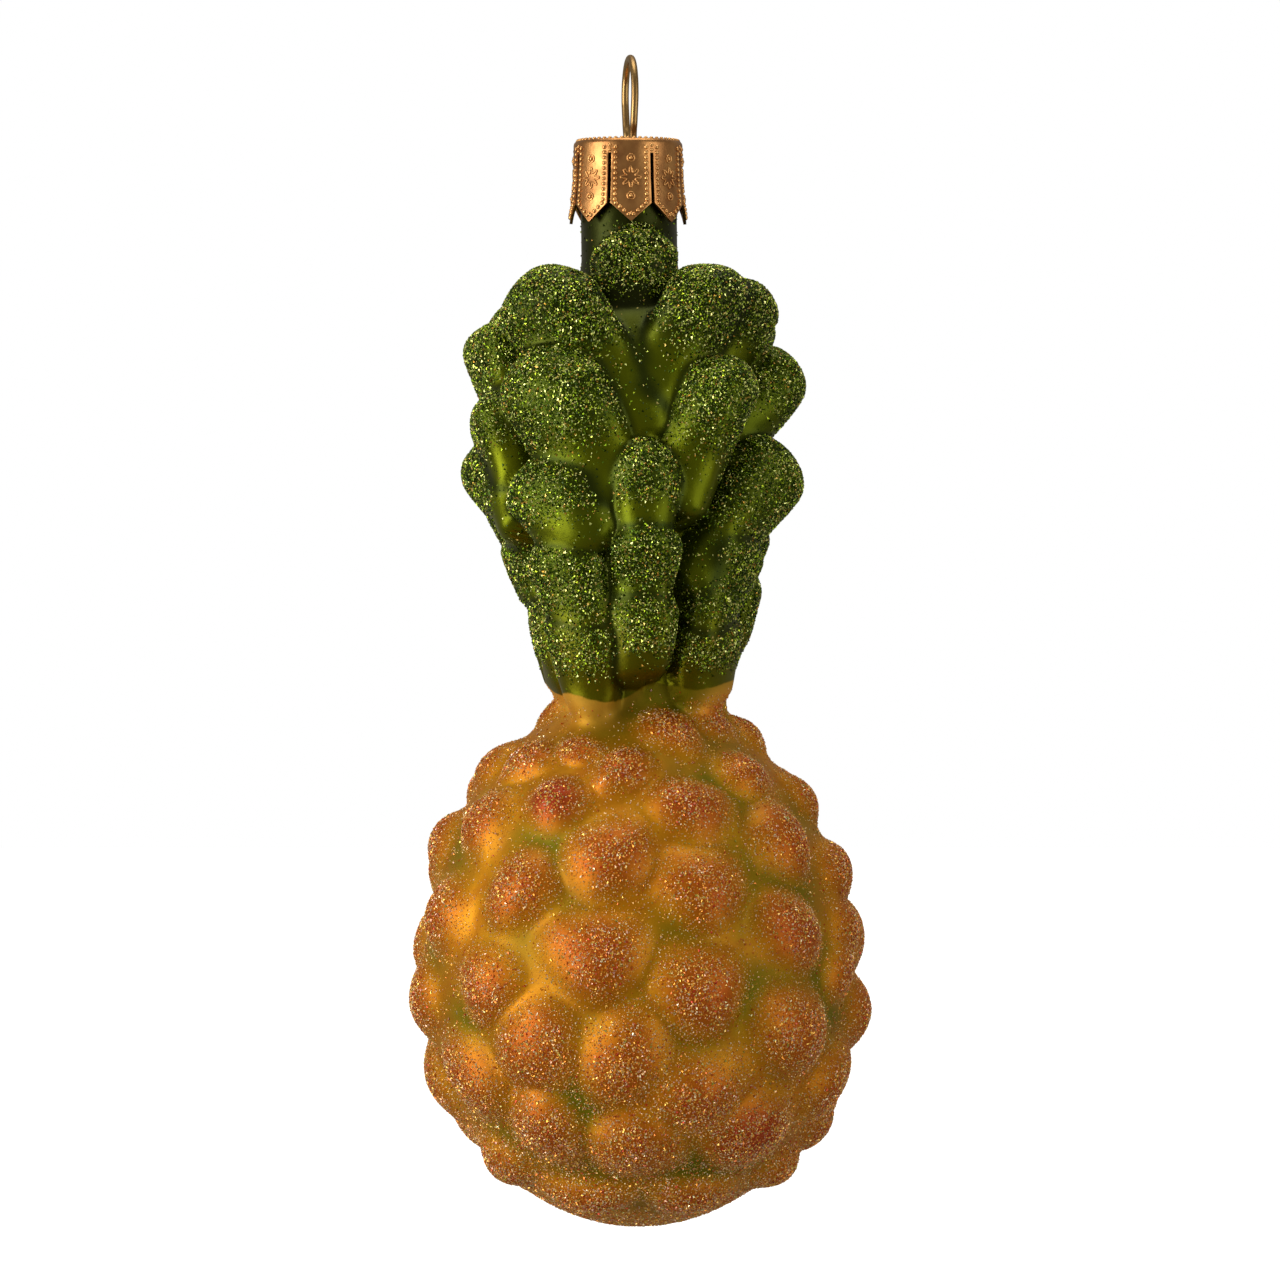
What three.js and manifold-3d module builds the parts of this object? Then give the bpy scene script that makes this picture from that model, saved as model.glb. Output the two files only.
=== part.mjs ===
// A blown-glass hanging ornament in the shape of a pineapple: one hollow glass body with a neck, a
// crown of leaves and a bumpy fruit, a stamped metal cap over the neck, and a wire hanger whose two
// legs pass through the cap and press outwards inside the neck.
// Millimetres, +Z up, the front faces -Y. The origin is the point that the ornament hangs from, on
// the underside of the loop's top. A bearing is an angle round Z: 0 is the front, 90 the right (+X).

import * as THREE from 'three';
import { mergeVertices } from 'three/addons/utils/BufferGeometryUtils.js';
import Module from 'manifold-3d';

const wasm = await Module();
wasm.setup();

// ---------- driving dimensions ----------

// Wire hanger
const WIRE_DIAMETER = 0.75;
const LOOP_RADIUS = 3.6; // of the wire's centre line
const LOOP_ARC = 108; // degrees, from the top to where each side runs on straight
const LOOP_TURN = 7.9; // bearing of the loop's front side
const HANG_DROP = 7.9; // from the hang point down to the cap's top
const LEG_LENGTH = 12; // below the cap's top
const LEG_GAP = 0.3; // between each leg's foot and the neck's inside
const WIRE_HOLE_CLEARANCE = 0.3; // round each leg, in the cap

// Stamped cap
const CAP_SHEET = 0.3;
const CAP_CLEARANCE = 0.35; // between the neck and the cap's wall
const CAP_SEAT_GAP = 0.3; // between the neck's rim and the cap's top
const CAP_CORNER = 0.5;
const TAB_COUNT = 8;
const CUT_MARGIN = 1; // that a cutting tool runs past what it cuts
const TAB_TURN = 3.2; // bearing of the first tab's middle
const TAB_START = 1.5; // the depths below the cap's top: where the slots start,
const TAB_SHOULDER = 6.5; // where a tab's straight edges end,
const TAB_LENGTH = 8.3; // and its point
const TAB_SLOT = 0.35;
const TAB_FLARE = 0.4; // how far the points stand out from the drum
const TAB_TIP = 0.16; // width left at a tab's point
const FLARE_START = 3.9; // depth where the tabs start to stand out

// Glass body
const NECK_WALL = 0.9;
const CROWN_WALL = 2; // behind the leaves
const FRUIT_WALL = 1.2;
const NECK_RADIUS = 4.8;
const NECK_LENGTH = 24; // from the rim down to the middle of the crown's round top
const CROWN_LENGTH = 28.5;
const CROWN_TOP_RADIUS = 10.8; // of the core under the leaves
const CROWN_FOOT_RADIUS = 7.3;
const WAIST_DROP = 2.5; // from the crown's foot to the top of the fruit's egg
const FRUIT_RADIUS = 21.3;
const FRUIT_ABOVE = 28; // from the fruit's middle to the top of its egg
const FRUIT_BELOW = 24.8; // and to its bottom
// The body leans a little: how far right of the hang point these lie
const NECK_OFFSET = -0.2; // the neck, with its cap
const FRUIT_OFFSET = 0.85;

// How the shapes run together
const LEAF_FILLET = 0.7;
const CORE_FILLET = 3;
const LEAF_ROOT_SHARE = 0.84; // a leaf's thickness at its root, as a share of that at its tip
const BUMP_SPREAD = 0.55; // a bump's half-size, as a share of its width and height
const BUMP_DEPTH = 0.75; // how deep a bump reaches along its outward direction, the same way
const BUMP_FOOT = 0.3; // how softly a bump's foot runs out
const BUMP_SHARPNESS = 3; // how sharply neighbouring bumps meet
const WOBBLE = 0.5; // how far the leaves and bumps are pushed about, so that they are uneven
const WOBBLE_RATES = [0.62, 0.55, 0.58]; // radians per millimetre along X, Y and Z
const WOBBLE_STARTS = [0.4, 2.1, 4];

// The skin's mesh
const SKIN_COLUMNS = 48;
const INNER_ROW_STEP = 2; // the inside has every second row of the outside
const STEEP_LOOK = 40; // elevation that the rows look up at, to see between the leaves from inside
const NECK_FOOT_RISE = 8.5; // above the crown's top, where the rows have reached that elevation
const LEAF_TIPS_DROP = 13.5; // below the crown's top, where they have come nearly level again
const WALL_EASE = 6; // length over which the wall thickens above the crown's foot
const SHOULDER_RISE = 11.5; // above the fruit's middle, where the rows look up at its shoulder
const FAR_OUT = 34; // from the axis, outside everything
const STEP_SHARE = 0.7; // of the distance, in each step along a ray
const STEP_LIMIT = 120;
const STEP_TOLERANCE = 1e-3;
const WELD_DISTANCE = 1e-4;

// Each leaf: bearing of its tip, height of its top above the crown's foot as a share of the crown's
// length, how far the tip stands out from the core, width, length, degrees that the root lies round
// from the tip, tilt outwards, and thickness.
const LEAVES = [
  [3, 1.53, -3.4, 8.4, 14, 4, 2, 4.2],
  [-43, 1.39, 3.8, 11, 20, 42, 11, 6.8],
  [48, 1.42, 3.6, 8.6, 17, -34, 13, 6.2],
  [68, 1.35, 4.2, 7.2, 11, -6, 22, 5.4],
  [-86, 1.24, 5.6, 8.6, 14, 8, 12, 6],
  [-37, 1.12, 5.6, 10.8, 17, 18, 10, 7.6],
  [44, 1.1, 5.6, 8.6, 17, -18, 12, 7],
  [86, 1.13, 6.4, 8.4, 13, -10, 30, 6],
  [-76, 1, 6, 8.8, 12, 6, 12, 6.6],
  [-84, 0.83, 6.7, 8.4, 12, 15, 20, 6.2],
  [4, 0.79, 5.4, 7.4, 10.5, 0, 13, 6.6],
  [-37, 0.74, 5.8, 10, 10.5, 8, 14, 6.2],
  [74, 0.8, 6.8, 8, 17, -32, 18, 6.2],
  [95, 0.53, 4.7, 5.6, 9, 0, 12, 4.6],
  [55, 0.48, 5.6, 7, 11, -10, 13, 5],
  [5, 0.53, 5.3, 7.2, 10, 0, 13, 6],
  [-33, 0.46, 5.5, 8, 10, 4, 14, 5.6],
  [-82, 0.53, 4.1, 6.8, 10, 4, 13, 5.2],
  [88, 0.35, 4.3, 6, 9, -4, 15, 4.8],
  [5, 0.31, 4.7, 7.2, 11, 0, 11, 5.6],
  [-29, 0.23, 4.5, 7.4, 11, 2, 12, 5.4],
  [-68, 0.27, 3.2, 6.6, 11, 2, 10, 5],
  [49, 0.22, 4.5, 7.6, 10, 0, 12, 5.2],
  [94, 0.17, 2.9, 6.4, 10, 0, 12, 5],
  // the back
  [180, 1.53, -3.2, 8.4, 14, -4, 2, 4.4],
  [142, 1.4, 3.4, 10.6, 18, 30, 12, 6.4],
  [-140, 1.38, 3.4, 10.2, 18, -28, 12, 6.4],
  [106, 1.3, 4.4, 7.8, 12, 4, 20, 5.6],
  [-114, 1.31, 4, 8.2, 12, -4, 18, 5.6],
  [128, 1.11, 5.6, 9.6, 15, 10, 12, 6.4],
  [176, 1.14, 5.4, 10, 16, -4, 10, 6.8],
  [-133, 1.09, 5.6, 9.6, 15, -10, 12, 6.4],
  [122, 0.82, 6.2, 8.4, 12, 10, 16, 6],
  [168, 0.78, 5.7, 8.4, 11, 0, 13, 6.2],
  [-146, 0.81, 5.8, 8.6, 11, -4, 14, 6.2],
  [-114, 0.75, 6.2, 7.6, 13, -8, 15, 5.8],
  [140, 0.51, 5.2, 7.6, 10, 4, 14, 5.4],
  [-176, 0.48, 5.2, 7.8, 10, 0, 13, 5.6],
  [-134, 0.51, 5.1, 7.8, 10, -4, 14, 5.4],
  [142, 0.26, 4.2, 7.4, 11, 0, 11, 5.2],
  [-174, 0.25, 4.2, 7.6, 11, 0, 11, 5.2],
  [-130, 0.26, 4.1, 7.6, 11, 0, 11, 5.2],
];

// Each bump of the fruit: bearing, latitude on the egg (0 is its middle, 90 its top), width, height
// along the egg, and how far it rises.
const BUMPS = [
  [21, 61, 6.6, 5.6, 1.3], [-7, 48, 6.2, 5.8, 1.6], [-52, 51, 6.6, 5.2, 1.4], [-28, 55, 5, 4, 0.8],
  [-88, 68, 5.2, 4.4, 1.2], [54, 64, 6, 4.6, 0.9], [86, 59, 5.6, 5.2, 1.6], [47, 46, 7.6, 6, 1.6],
  [80, 41, 6, 5.6, 1.8], [-85, 49, 6.6, 6, 1.8], [-56, 35, 7, 7, 1.9], [-27, 38, 7.2, 6.8, 2.3],
  [18, 38, 8, 7, 2.1], [49, 30, 8.4, 7.4, 2.2], [-88, 28, 7.6, 7.4, 2.2], [79, 23, 7.6, 7, 2.2],
  [-7, 27, 8.8, 7.8, 2.2], [-34, 19, 8.6, 7.8, 2], [19, 20, 9.6, 8.4, 2.1], [-64, 13, 8.2, 7.6, 2],
  [-11, 7, 10.2, 8.8, 2.1], [44, 11, 8.2, 7.6, 2], [73, 10, 7.2, 6.6, 1.8], [-43, 1, 9, 7.8, 1.9],
  [-80, -5, 8.4, 8, 2.1], [68, 2, 6.6, 5.8, 1.6], [16, 0, 10.2, 9, 2.1], [45, -10, 10, 9, 2.1],
  [86, -9, 8, 7.4, 2.3], [-27, -14, 9.8, 9, 2], [-4, -16, 9, 9.6, 2], [-54, -21, 8.6, 8.2, 2],
  [18, -24, 10.4, 8.8, 2], [-86, -25, 8, 7.8, 1.9], [72, -23, 8.4, 8, 2], [-30, -34, 8.4, 7.8, 1.9],
  [0, -38, 9.6, 7.6, 1.9], [38, -36, 10.6, 8, 2.1], [84, -35, 7.6, 6.4, 1.9],
  [-60, -46, 8.6, 6.8, 1.8], [-26, -57, 9.6, 6, 1.5], [27, -57, 10, 6.4, 1.6],
  [74, -49, 8.2, 6.4, 1.8],
  // the back
  [-160, 61, 6.4, 5.6, 1.3], [172, 51, 6.6, 6, 1.7], [128, 59, 6.4, 5.2, 1.4],
  [-132, 56, 6.4, 5.4, 1.5], [-108, 43, 6.8, 6, 1.8], [150, 41, 7.2, 6.4, 1.9],
  [112, 41, 6.8, 6.2, 1.8], [-158, 37, 7.6, 6.8, 2.1], [-132, 32, 7.6, 7, 2.1],
  [175, 27, 8.4, 7.6, 2.2], [134, 27, 8.4, 7.6, 2.2], [105, 22, 8, 7.4, 2.1], [-106, 23, 7.8, 7.2, 2],
  [-156, 17, 9, 8, 2.1], [156, 13, 9, 8.2, 2.1], [-130, 13, 8.4, 7.6, 2], [120, 8, 8.8, 8, 2],
  [-103, 6, 8, 7.4, 2], [-178, 1, 10, 8.8, 2.1], [-147, -4, 9.4, 8.4, 2.1], [147, -6, 9.6, 8.6, 2.1],
  [110, -11, 8.6, 8, 2.1], [-120, -15, 9.2, 8.4, 2], [170, -21, 9.8, 8.8, 2], [-160, -24, 9.4, 8.4, 2],
  [132, -27, 9.2, 8.4, 2], [-138, -34, 8.8, 7.8, 1.9], [100, -30, 7.6, 6.8, 1.8],
  [-110, -36, 8.2, 7, 1.9], [176, -43, 9.2, 7.4, 1.8], [146, -48, 8.8, 6.8, 1.8],
  [-156, -53, 9, 6.4, 1.7], [112, -50, 8, 6.4, 1.7], [-122, -54, 8.4, 6, 1.6], [172, -66, 7.6, 5, 1.3],
  [97, 8, 8.4, 7.6, 2], [101, 57, 5.6, 5, 1.4],
];

// ---------- heights that follow from them ----------

const CAP_TOP = -HANG_DROP;
const RIM = CAP_TOP - CAP_SHEET - CAP_SEAT_GAP;
const CROWN_TOP = RIM - NECK_LENGTH;
const CROWN_FOOT = CROWN_TOP - CROWN_LENGTH;
const FRUIT_MIDDLE = CROWN_FOOT - WAIST_DROP - FRUIT_ABOVE;

const radians = THREE.MathUtils.degToRad;

// The point at a bearing, a distance from the axis and a height.
function polar(bearing, distance, height) {
  const turn = radians(bearing);
  return new THREE.Vector3(distance * Math.sin(turn), -distance * Math.cos(turn), height);
}

// ---------- closed meshes and solids ----------

function solidOf(geometry) {
  const bare = geometry.clone();
  bare.deleteAttribute('normal');
  bare.deleteAttribute('uv');
  const merged = mergeVertices(bare, WELD_DISTANCE);
  const mesh = new wasm.Mesh({
    numProp: 3,
    vertProperties: new Float32Array(merged.attributes.position.array),
    triVerts: new Uint32Array(merged.index.array),
  });
  return new wasm.Manifold(mesh);
}

function geometryOf(solid) {
  const mesh = solid.getMesh();
  const geometry = new THREE.BufferGeometry();
  geometry.setAttribute('position', new THREE.BufferAttribute(mesh.vertProperties, 3));
  geometry.setIndex(new THREE.BufferAttribute(mesh.triVerts, 1));
  geometry.computeVertexNormals();
  return geometry;
}

// ---------- glass body ----------
// The skin is where a distance is zero: positive outside the body, negative inside.

// Two distances joined with a fillet.
function join(a, b, fillet) {
  const near = Math.max(fillet - Math.abs(a - b), 0) / fillet;
  return Math.min(a, b) - (near * near * fillet) / 4;
}

// How far right the body's middle lies at a height.
function middleAt(height) {
  const share = (height - RIM) / (FRUIT_MIDDLE - RIM);
  return THREE.MathUtils.lerp(NECK_OFFSET, FRUIT_OFFSET, THREE.MathUtils.clamp(share, 0, 1));
}

// The distance to a round-ended cone from root to tip, drawn out sideways where flat is below 1.
function tongueDistance(point, tongue) {
  const offset = point.clone().sub(tongue.root);
  offset.addScaledVector(tongue.side, -(1 - tongue.flat) * offset.dot(tongue.side));
  const along = THREE.MathUtils.clamp(offset.dot(tongue.axis) / tongue.length, 0, 1);
  offset.addScaledVector(tongue.axis, -along * tongue.length);
  return offset.length() - THREE.MathUtils.lerp(tongue.rootRadius, tongue.tipRadius, along);
}

function makeTongue(root, tip, rootRadius, tipRadius, side, flat) {
  const axis = tip.clone().sub(root);
  const length = axis.length();
  return { root, axis: axis.divideScalar(length), length, rootRadius, tipRadius, side, flat };
}

function coreRadiusAt(height) {
  const share = THREE.MathUtils.clamp((height - CROWN_FOOT) / CROWN_LENGTH, 0, 1);
  return THREE.MathUtils.lerp(CROWN_FOOT_RADIUS, CROWN_TOP_RADIUS, share);
}

function makeLeaf([bearing, rise, stand, width, length, lean, tilt, thickness]) {
  const tipRadius = thickness / 2;
  const top = CROWN_FOOT + rise * CROWN_LENGTH;
  const reach = coreRadiusAt(top) + stand - tipRadius;
  const run = length - thickness;
  const inwards = run * Math.sin(radians(tilt));
  const down = run * Math.cos(radians(tilt));
  const tip = polar(bearing, reach, top - tipRadius);
  const root = polar(bearing + lean, reach - inwards, top - tipRadius - down);
  const outwards = root.clone().add(tip).setZ(0);
  const side = tip.clone().sub(root).cross(outwards).normalize();
  return makeTongue(root, tip, tipRadius * LEAF_ROOT_SHARE, tipRadius, side, thickness / width);
}

function makeBump([bearing, latitude, width, height, rise]) {
  const up = Math.sin(radians(latitude));
  const out = FRUIT_RADIUS * Math.cos(radians(latitude));
  const halfHeight = latitude > 0 ? FRUIT_ABOVE : FRUIT_BELOW;
  const centre = polar(bearing, out, FRUIT_MIDDLE + halfHeight * up);
  const normal = polar(bearing, out / FRUIT_RADIUS ** 2, up / halfHeight).normalize();
  const across = polar(bearing + 90, 1, 0);
  const along = normal.clone().cross(across);
  return { centre, normal, across, along, width, height, rise };
}

// How far a bump lifts the skin near a point.
function bumpLift(point, bump) {
  const offset = point.clone().sub(bump.centre);
  const reach = Math.hypot(
    offset.dot(bump.across) / (bump.width * BUMP_SPREAD),
    offset.dot(bump.along) / (bump.height * BUMP_SPREAD),
    offset.dot(bump.normal) / (bump.width * BUMP_DEPTH)
  );
  const dome = 1 - reach ** 2;
  return (bump.rise * (dome + Math.hypot(dome, BUMP_FOOT))) / 2;
}

// The distance to the fruit's egg, whose upper and lower halves have their own heights.
function eggDistance(point) {
  const halfHeight = point.z > FRUIT_MIDDLE ? FRUIT_ABOVE : FRUIT_BELOW;
  const radii = new THREE.Vector3(FRUIT_RADIUS, FRUIT_RADIUS, halfHeight);
  const scaled = point.clone().setZ(point.z - FRUIT_MIDDLE).divide(radii);
  const share = scaled.length();
  return (share * (share - 1)) / scaled.divide(radii).length();
}

function wobbled({ x, y, z }) {
  return new THREE.Vector3(
    x + WOBBLE * Math.sin(y * WOBBLE_RATES[0] + WOBBLE_STARTS[0]),
    y + WOBBLE * Math.sin(z * WOBBLE_RATES[1] + WOBBLE_STARTS[1]),
    z + WOBBLE * Math.sin(x * WOBBLE_RATES[2] + WOBBLE_STARTS[2])
  );
}

const crownCore = makeTongue(
  new THREE.Vector3(0, 0, CROWN_FOOT),
  new THREE.Vector3(0, 0, CROWN_TOP),
  CROWN_FOOT_RADIUS,
  CROWN_TOP_RADIUS,
  new THREE.Vector3(1, 0, 0),
  1
);
const leaves = LEAVES.map(makeLeaf);
const bumps = BUMPS.map(makeBump);

function skinDistance(worldPoint) {
  const point = worldPoint.clone();
  point.x -= middleAt(point.z);
  const neck = Math.max(Math.hypot(point.x, point.y) - NECK_RADIUS, CROWN_FOOT - point.z);
  let crown = join(neck, tongueDistance(point, crownCore), CORE_FILLET);
  const uneven = wobbled(point);
  for (const leaf of leaves) crown = join(crown, tongueDistance(uneven, leaf), LEAF_FILLET);
  let lift = 0;
  for (const bump of bumps) lift += bumpLift(uneven, bump) ** BUMP_SHARPNESS;
  const fruit = eggDistance(point) - lift ** (1 / BUMP_SHARPNESS);
  return join(crown, fruit, CORE_FILLET);
}

// The rows of the skin's mesh look outwards from the axis. Each stretch of rows goes from one height
// and elevation to the next, in steps.
const neckFoot = CROWN_TOP + NECK_FOOT_RISE;
const leafTips = CROWN_TOP - LEAF_TIPS_DROP;
const waist = CROWN_FOOT - WAIST_DROP;
const shoulder = FRUIT_MIDDLE + SHOULDER_RISE;
const ROW_STRETCHES = [
  { from: RIM, to: neckFoot, elevation: [0, STEEP_LOOK], steps: 5 },
  { from: neckFoot, to: CROWN_TOP, elevation: [STEEP_LOOK, STEEP_LOOK], steps: 7 },
  { from: CROWN_TOP, to: leafTips, elevation: [STEEP_LOOK, 10], steps: 12 },
  { from: leafTips, to: waist, elevation: [10, 0], steps: 8 },
  { from: waist, to: shoulder, elevation: [0, 25], steps: 8 },
  { from: shoulder, to: FRUIT_MIDDLE, elevation: [25, 0], steps: 10 },
  { from: FRUIT_MIDDLE, to: FRUIT_MIDDLE, elevation: [0, -90], steps: 18 },
];

function skinRows() {
  const rows = [];
  for (const { from, to, elevation, steps } of ROW_STRETCHES) {
    for (let i = 0; i < steps; i++) {
      const share = i / steps;
      rows.push({
        height: THREE.MathUtils.lerp(from, to, share),
        elevation: radians(THREE.MathUtils.lerp(elevation[0], elevation[1], share)),
      });
    }
  }
  return rows;
}

// How thick the glass is in the row at a height.
function wallAt(height) {
  const top = THREE.MathUtils.smoothstep(height, CROWN_TOP, neckFoot);
  const foot = THREE.MathUtils.smoothstep(height, CROWN_FOOT, CROWN_FOOT + WALL_EASE);
  const belowNeck = THREE.MathUtils.lerp(FRUIT_WALL, CROWN_WALL, foot);
  return THREE.MathUtils.lerp(belowNeck, NECK_WALL, top);
}

// Steps along a ray until the distance is the one wanted, and returns how far along that is.
function reachAlong(origin, direction, start, wanted) {
  let reach = start;
  for (let i = 0; i < STEP_LIMIT; i++) {
    const left = skinDistance(origin.clone().addScaledVector(direction, reach)) - wanted;
    reach -= left * STEP_SHARE;
    if (Math.abs(left) < STEP_TOLERANCE) break;
  }
  return reach;
}

function makeGlassBody() {
  const positions = [];
  const rows = skinRows();
  const outerReach = [];

  function addRow({ height, elevation }, starts, wanted) {
    const origin = new THREE.Vector3(middleAt(height), 0, height);
    return starts.map((start, column) => {
      const direction = polar((360 * column) / SKIN_COLUMNS, Math.cos(elevation), Math.sin(elevation));
      const reach = reachAlong(origin, direction, start, wanted);
      positions.push(...origin.clone().addScaledVector(direction, reach));
      return reach;
    });
  }

  function addPole(start, wanted) {
    const origin = new THREE.Vector3(middleAt(FRUIT_MIDDLE), 0, FRUIT_MIDDLE);
    const down = new THREE.Vector3(0, 0, -1);
    const reach = reachAlong(origin, down, start, wanted);
    positions.push(...origin.addScaledVector(down, reach));
    return reach;
  }

  const farOut = new Array(SKIN_COLUMNS).fill(FAR_OUT);
  for (const row of rows) outerReach.push(addRow(row, farOut, 0));
  const outerPole = positions.length / 3;
  const poleReach = addPole(FAR_OUT, 0);
  const innerRows = rows.map((row, i) => i).filter((i) => i % INNER_ROW_STEP === 0);
  for (const i of innerRows) addRow(rows[i], outerReach[i], -wallAt(rows[i].height));
  const innerPole = positions.length / 3;
  addPole(poleReach, -FRUIT_WALL);

  const index = [];
  const firstInner = outerPole + 1;
  // A band of faces between two rings of vertices, the first ring above the second seen from outside.
  function addBand(upper, lower) {
    for (let column = 0; column < SKIN_COLUMNS; column++) {
      const next = (column + 1) % SKIN_COLUMNS;
      index.push(upper + column, lower + column, lower + next);
      index.push(upper + column, lower + next, upper + next);
    }
  }
  function addFan(ring, pole, inside) {
    for (let column = 0; column < SKIN_COLUMNS; column++) {
      const next = (column + 1) % SKIN_COLUMNS;
      if (inside) index.push(ring + column, ring + next, pole);
      else index.push(ring + next, ring + column, pole);
    }
  }
  for (let i = 0; i + 1 < rows.length; i++) addBand(i * SKIN_COLUMNS, (i + 1) * SKIN_COLUMNS);
  addFan((rows.length - 1) * SKIN_COLUMNS, outerPole, false);
  const innerRing = (i) => firstInner + i * SKIN_COLUMNS;
  for (let i = 0; i + 1 < innerRows.length; i++) addBand(innerRing(i + 1), innerRing(i));
  addFan(innerRing(innerRows.length - 1), innerPole, true);
  addBand(firstInner, 0);

  const geometry = new THREE.BufferGeometry();
  geometry.setAttribute('position', new THREE.Float32BufferAttribute(positions, 3));
  geometry.setIndex(index);
  geometry.computeVertexNormals();
  return geometry;
}

// ---------- hanger ----------

const loopCentre = WIRE_DIAMETER / 2 - LOOP_RADIUS;
const loopSide = polar(LOOP_TURN, 1, 0);

// Where the wire's centre line is, from its distance to the side of the loop's middle and its height.
function wirePoint(aside, height) {
  return loopSide.clone().multiplyScalar(aside).setZ(height);
}

const arcEnd = {
  aside: LOOP_RADIUS * Math.sin(radians(LOOP_ARC)),
  height: loopCentre + LOOP_RADIUS * Math.cos(radians(LOOP_ARC)),
};
const holeHeight = CAP_TOP - CAP_SHEET / 2;
const holeAside = arcEnd.aside + (arcEnd.height - holeHeight) / Math.tan(radians(LOOP_ARC));
const footAside = NECK_RADIUS - NECK_WALL - LEG_GAP - WIRE_DIAMETER / 2 - Math.abs(NECK_OFFSET);

function makeHanger() {
  const arcSteps = 12;
  const half = [];
  for (let i = 0; i <= arcSteps; i++) {
    const turn = radians((LOOP_ARC * i) / arcSteps);
    half.push([LOOP_RADIUS * Math.sin(turn), loopCentre + LOOP_RADIUS * Math.cos(turn)]);
  }
  half.push([(arcEnd.aside + holeAside) / 2, (arcEnd.height + holeHeight) / 2]);
  half.push([holeAside, holeHeight]);
  half.push([(holeAside + footAside) / 2, CAP_TOP - LEG_LENGTH / 2]);
  half.push([footAside, CAP_TOP - LEG_LENGTH]);
  const oneSide = half.map(([aside, height]) => wirePoint(aside, height));
  const otherSide = half.slice(1).map(([aside, height]) => wirePoint(-aside, height));
  const route = new THREE.CatmullRomCurve3([...otherSide.reverse(), ...oneSide], false, 'centripetal');
  const section = new THREE.Shape();
  section.absarc(0, 0, WIRE_DIAMETER / 2, 0, 2 * Math.PI);
  return new THREE.ExtrudeGeometry(section, {
    steps: 72,
    curveSegments: 4,
    bevelEnabled: false,
    extrudePath: route,
  });
}

// ---------- cap ----------

const capInside = NECK_RADIUS + CAP_CLEARANCE;
const capOutside = capInside + CAP_SHEET;

function capProfile() {
  const cornerSteps = 3;
  const tip = CAP_TOP - TAB_LENGTH;
  const flareStart = CAP_TOP - FLARE_START;
  const innerCorner = CAP_CORNER - CAP_SHEET;
  const outer = [new THREE.Vector2(0, CAP_TOP)];
  const inner = [new THREE.Vector2(0, CAP_TOP - CAP_SHEET)];
  for (let i = 0; i <= cornerSteps; i++) {
    const turn = radians((90 * i) / cornerSteps);
    const across = capOutside - CAP_CORNER;
    const up = CAP_TOP - CAP_CORNER;
    outer.push(new THREE.Vector2(across + CAP_CORNER * Math.sin(turn), up + CAP_CORNER * Math.cos(turn)));
    inner.push(new THREE.Vector2(across + innerCorner * Math.sin(turn), up + innerCorner * Math.cos(turn)));
  }
  outer.push(new THREE.Vector2(capOutside, flareStart));
  inner.push(new THREE.Vector2(capInside, flareStart));
  outer.push(new THREE.Vector2(capOutside + TAB_FLARE, tip));
  inner.push(new THREE.Vector2(capInside + TAB_FLARE, tip));
  return [...inner, ...outer.reverse()];
}

// The slot between two tabs and the notch below it, between their points.
function tabGap() {
  const pitch = (2 * Math.PI * (capOutside + TAB_FLARE)) / TAB_COUNT;
  const notch = (pitch - TAB_TIP) / 2;
  const outline = new THREE.Shape();
  outline.moveTo(-TAB_SLOT / 2, CAP_TOP - TAB_START);
  outline.lineTo(-TAB_SLOT / 2, CAP_TOP - TAB_SHOULDER);
  outline.lineTo(-notch, CAP_TOP - TAB_LENGTH);
  outline.lineTo(-notch, CAP_TOP - TAB_LENGTH - CUT_MARGIN);
  outline.lineTo(notch, CAP_TOP - TAB_LENGTH - CUT_MARGIN);
  outline.lineTo(notch, CAP_TOP - TAB_LENGTH);
  outline.lineTo(TAB_SLOT / 2, CAP_TOP - TAB_SHOULDER);
  outline.lineTo(TAB_SLOT / 2, CAP_TOP - TAB_START);
  outline.closePath();
  const start = capInside - CUT_MARGIN;
  const depth = capOutside + TAB_FLARE + CUT_MARGIN - start;
  return new THREE.ExtrudeGeometry(outline, { depth, bevelEnabled: false })
    .translate(0, 0, start)
    .rotateX(Math.PI / 2);
}

function makeCap() {
  let cap = solidOf(new THREE.LatheGeometry(capProfile(), 64).rotateX(Math.PI / 2));
  const gap = tabGap();
  for (let i = 0; i < TAB_COUNT; i++) {
    const turn = radians(TAB_TURN + (360 / TAB_COUNT) * (i + 0.5));
    cap = cap.subtract(solidOf(gap.clone().rotateZ(turn)));
  }
  const holeRadius = WIRE_DIAMETER / 2 + WIRE_HOLE_CLEARANCE;
  for (const aside of [-holeAside, holeAside]) {
    const { x, y } = wirePoint(aside, 0);
    const drill = new THREE.CylinderGeometry(holeRadius, holeRadius, CAP_SHEET * 4, 16)
      .rotateX(Math.PI / 2)
      .translate(x - NECK_OFFSET, y, holeHeight);
    cap = cap.subtract(solidOf(drill));
  }
  return geometryOf(cap);
}

// ---------- the ornament ----------

function addMesh(group, name, geometry, color, roughness, metalness) {
  const material = new THREE.MeshStandardMaterial({ color, roughness, metalness });
  const mesh = new THREE.Mesh(geometry, material);
  mesh.name = name;
  group.add(mesh);
  return mesh;
}

const ornament = new THREE.Group();
addMesh(ornament, 'glass_body', makeGlassBody(), 0xc98a2a, 0.35, 0.2);
const cap = addMesh(ornament, 'cap', makeCap(), 0xb98a52, 0.35, 1);
cap.position.x = NECK_OFFSET;
addMesh(ornament, 'hanger', makeHanger(), 0x8a7340, 0.3, 1);

export default ornament;
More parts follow.
